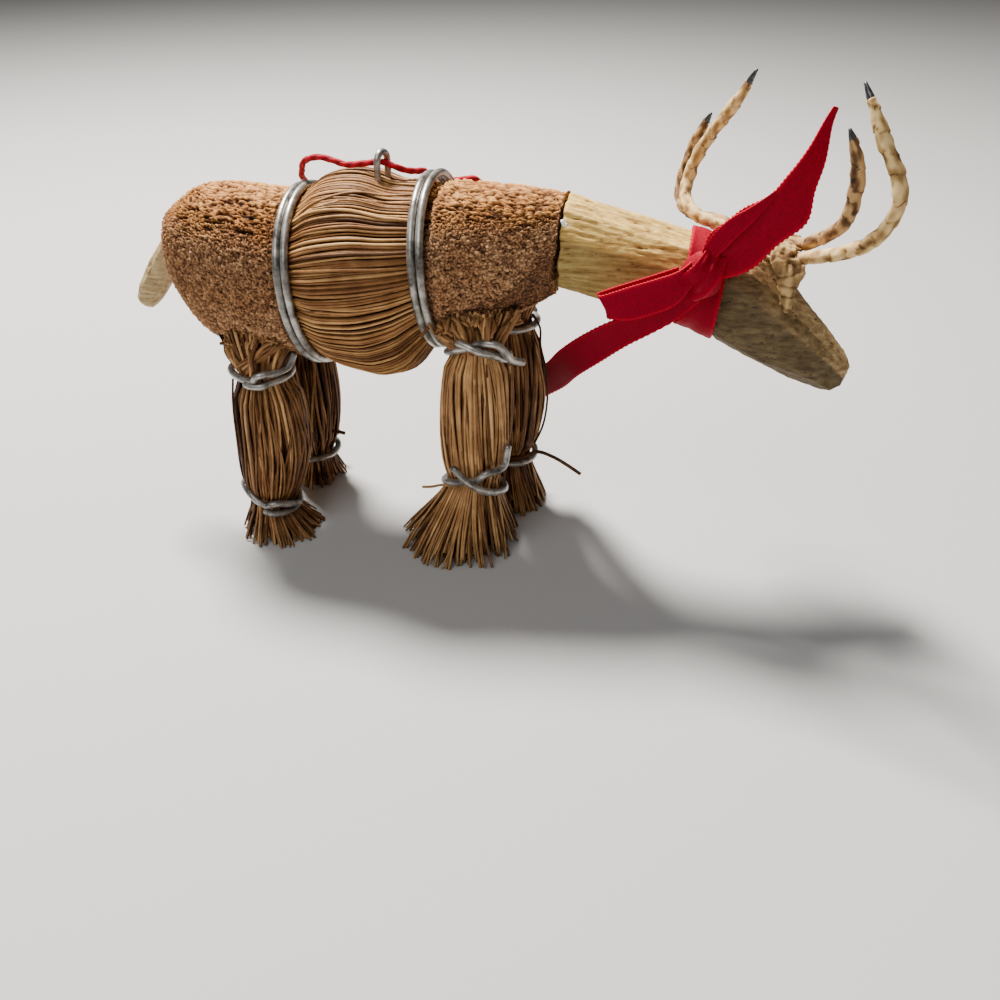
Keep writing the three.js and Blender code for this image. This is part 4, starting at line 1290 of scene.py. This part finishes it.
# The other parts of the ribbon, each as matching points of its two edges.
RIBBON_LOOP = [
    ((53.5, -12.4, 64.7), (54.3, -12.4, 61.2)), ((51.5, -13.0, 63.1), (51.8, -13.0, 57.6)),
    ((48.0, -13.4, 61.6), (47.8, -13.4, 55.5)), ((44.1, -13.4, 60.0), (44.3, -13.4, 54.3)),
    ((41.2, -13.0, 58.6), (42.2, -13.0, 54.1)), ((39.1, -12.5, 57.7), (41.0, -12.5, 53.9)),
    ((38.8, -12.1, 57.9), (40.7, -12.1, 54.1)), ((41.0, -12.0, 59.0), (42.4, -12.0, 54.6)),
    ((44.0, -12.1, 60.3), (44.8, -12.1, 55.0)), ((47.9, -12.0, 61.9), (48.2, -12.0, 56.0)),
    ((51.6, -11.6, 63.4), (52.0, -11.6, 58.2)),
]
RIBBON_TAIL_UP = [
    ((55.0, -10.8, 66.0), (56.4, -10.8, 61.6)), ((55.8, -10.9, 68.8), (57.6, -10.9, 61.9)),
    ((58.0, -11.2, 71.0), (59.6, -11.2, 62.2)), ((60.4, -11.6, 73.4), (63.0, -11.3, 64.0)),
    ((64.0, -11.8, 75.7), (66.4, -11.0, 68.1)), ((66.1, -11.6, 78.7), (70.1, -10.6, 71.7)),
    ((67.3, -11.4, 80.6), (70.5, -10.5, 76.5)), ((68.6, -11.0, 83.0), (71.2, -10.5, 80.8)),
    ((70.2, -10.3, 86.9), (71.3, -10.2, 86.2)), ((71.0, -10.2, 88.6), (71.7, -10.1, 88.4)),
]
RIBBON_FOLD = [
    ((55.3, -11.5, 67.2), (56.2, -11.5, 63.4)), ((56.3, -11.8, 69.1), (57.2, -11.8, 65.4)),
    ((57.3, -12.1, 70.5), (58.6, -12.1, 67.4)), ((58.8, -12.3, 72.1), (60.4, -12.3, 69.8)),
    ((60.9, -12.4, 73.6), (62.2, -12.4, 72.0)), ((63.0, -12.3, 75.2), (63.8, -12.3, 74.3)),
    ((64.6, -12.2, 76.6), (64.9, -12.2, 76.2)),
]
RIBBON_TAIL_DOWN = [
    ((52.6, -11.0, 60.6), (55.6, -10.6, 57.6)), ((49.4, -10.9, 57.4), (52.4, -10.6, 54.2)),
    ((45.9, -10.2, 54.6), (48.9, -9.9, 51.3)), ((40.9, -6.5, 50.9), (44.0, -6.2, 46.5)),
    ((35.6, -1.0, 45.5), (39.1, -0.7, 40.4)), ((30.4, 5.5, 38.9), (34.1, 5.8, 33.8)),
    ((26.6, 11.9, 32.5), (30.6, 12.2, 27.8)), ((21.2, 17.6, 26.3), (25.4, 17.9, 21.9)),
]
KNOT_TURN = [
    ((51.9, -10.2, 60.4), (55.2, -10.0, 57.6)), ((52.2, -12.6, 62.4), (56.6, -12.9, 59.6)),
    ((53.9, -13.4, 64.4), (58.2, -13.1, 62.4)), ((55.6, -11.6, 66.6), (59.0, -11.0, 65.2)),
]


def strip_rows(edges, along, across):
    """Points over a strip between two edges, row by row, with picot bumps along both of them."""
    first, second = (smooth_line([pair[side] for pair in edges], along) for side in (0, 1))
    rows = []
    for i, (a, b) in enumerate(zip(first, second)):
        picot = PICOT * (i % 4 in (1, 2))
        shares = [-picot, *(k / across for k in range(1, across)), 1 + picot]
        rows.append([a.lerp(b, 0.5) + (b - a) * (share - 0.5) for share in shares])
    return rows


def strip_normals(rows):
    normals = []
    for i, row in enumerate(rows):
        before, after = rows[max(i - 1, 0)], rows[min(i + 1, len(rows) - 1)]
        line = []
        for k in range(len(row)):
            forward = after[k] - before[k]
            side = row[min(k + 1, len(row) - 1)] - row[max(k - 1, 0)]
            line.append(forward.cross(side).normalized())
        normals.append(line)
    return normals


def strip_faces(along, across):
    """The two sides of a strip and the rim that joins them."""
    width = across + 1
    half = (along + 1) * width
    faces = []
    for i in range(along):
        for k in range(across):
            a = i * width + k
            faces.append((a, a + width, a + width + 1, a + 1))
            faces.append((half + a, half + a + 1, half + a + width + 1, half + a + width))
    for a in range(0, along * width, width):
        b = a + across
        faces.append((a, half + a, half + a + width, a + width))
        faces.append((b, b + width, half + b + width, half + b))
    for a in range(across):
        b = a + along * width
        faces.append((a, a + 1, half + a + 1, half + a))
        faces.append((b, half + b, half + b + 1, b + 1))
    return faces


def strip(build, edges, along, across, lift=lambda u, v: 0.0):
    """A closed thin strip between two edges, lifted by a function of the shares along and across it."""
    rows = strip_rows(edges, along, across)
    normals = strip_normals(rows)
    points, edge = [], []
    for face_side in (0.5, -0.5):
        for i in range(along + 1):
            for k in range(across + 1):
                t = k / across
                rim = min(t, 1 - t)
                hem = 0.12 * bell(rim, 0, 0.07)
                rise = lift(i / along, t) + face_side * (RIBBON_THICK + hem)
                points.append(rows[i][k] + normals[i][k] * rise)
                # Painted sheen along both edges of the strip.
                edge.append(bell(rim, 0, 0.06) * 0.8)
    build.add(points, strip_faces(along, across), edge=edge)


def band_edges():
    """The turn round the joint; low on the near side it is pulled narrow."""
    edges = []
    for i in range(BAND_STEPS + 1):
        angle = 2 * math.pi * i / BAND_STEPS - 1.9
        pulled = bell(math.degrees(angle) % 360, 212, 20)
        y, up = rounded(angle, 2.2)
        pair = []
        for (x, z, high, wide), across in zip(BAND_EDGES, (pulled, 0)):
            rise = up * (high - (0.8 if up < 0 else 0.25))
            x = x + across + rise * math.sin(BAND_LEAN)
            pair.append((x, y * (wide - 0.25), z + rise * math.cos(BAND_LEAN)))
        edges.append(pair)
    return edges


def make_knot(build):
    """A pinched, folded lump where the ribbon crosses itself."""
    rings, sides = 40, 64
    points, edge = [], []
    for r in range(rings + 1):
        polar = math.pi * r / rings
        for k in range(sides):
            a = 2 * math.pi * k / sides
            way = Vector((math.sin(polar) * math.cos(a), -math.cos(polar), math.sin(polar) * math.sin(a)))
            fold = math.sin(5.5 * (way.x * 0.9 - way.z * 0.7) + 1.6 * way.y)
            reach = 1.0 + 0.09 * fold + 0.05 * noise.noise(way * 2.5)
            points.append(KNOT_CENTRE + way * KNOT_SIZE * reach)
            # Painted highlight on the knot's fold crests.
            edge.append(0.35 * max(fold, 0) ** 6)
    walls, _ = ring_faces(rings + 1, sides, backward=True)
    build.add(points, walls, edge=edge)


def make_ribbon():
    build = Build()
    strip(build, band_edges(), 220, 18, lambda u, v: 0.12 * math.sin(9 * v + 3 * math.sin(7 * u)))
    strip(build, RIBBON_LOOP, 200, 26, lambda u, v: 0.18 * math.sin(8 * v + 2) * max(1 - 3 * u, 0))
    strip(build, RIBBON_TAIL_UP, 160, 30, lambda u, v: 0.45 * bell(v, 0.62, 0.1) * max(0.6 - u, 0))
    strip(build, RIBBON_FOLD, 90, 12)
    strip(build, RIBBON_TAIL_DOWN, 150, 20, lambda u, v: 0.08 * math.sin(4 * v + 5 * u))
    strip(build, KNOT_TURN, 60, 24, lambda u, v: 0.26 * math.sin(16 * v + 2 * u) * math.sin(math.pi * v))
    make_knot(build)
    obj = build.piece("satin_ribbon", SATIN, "ribbon", ["ribbon"])


make_ribbon()
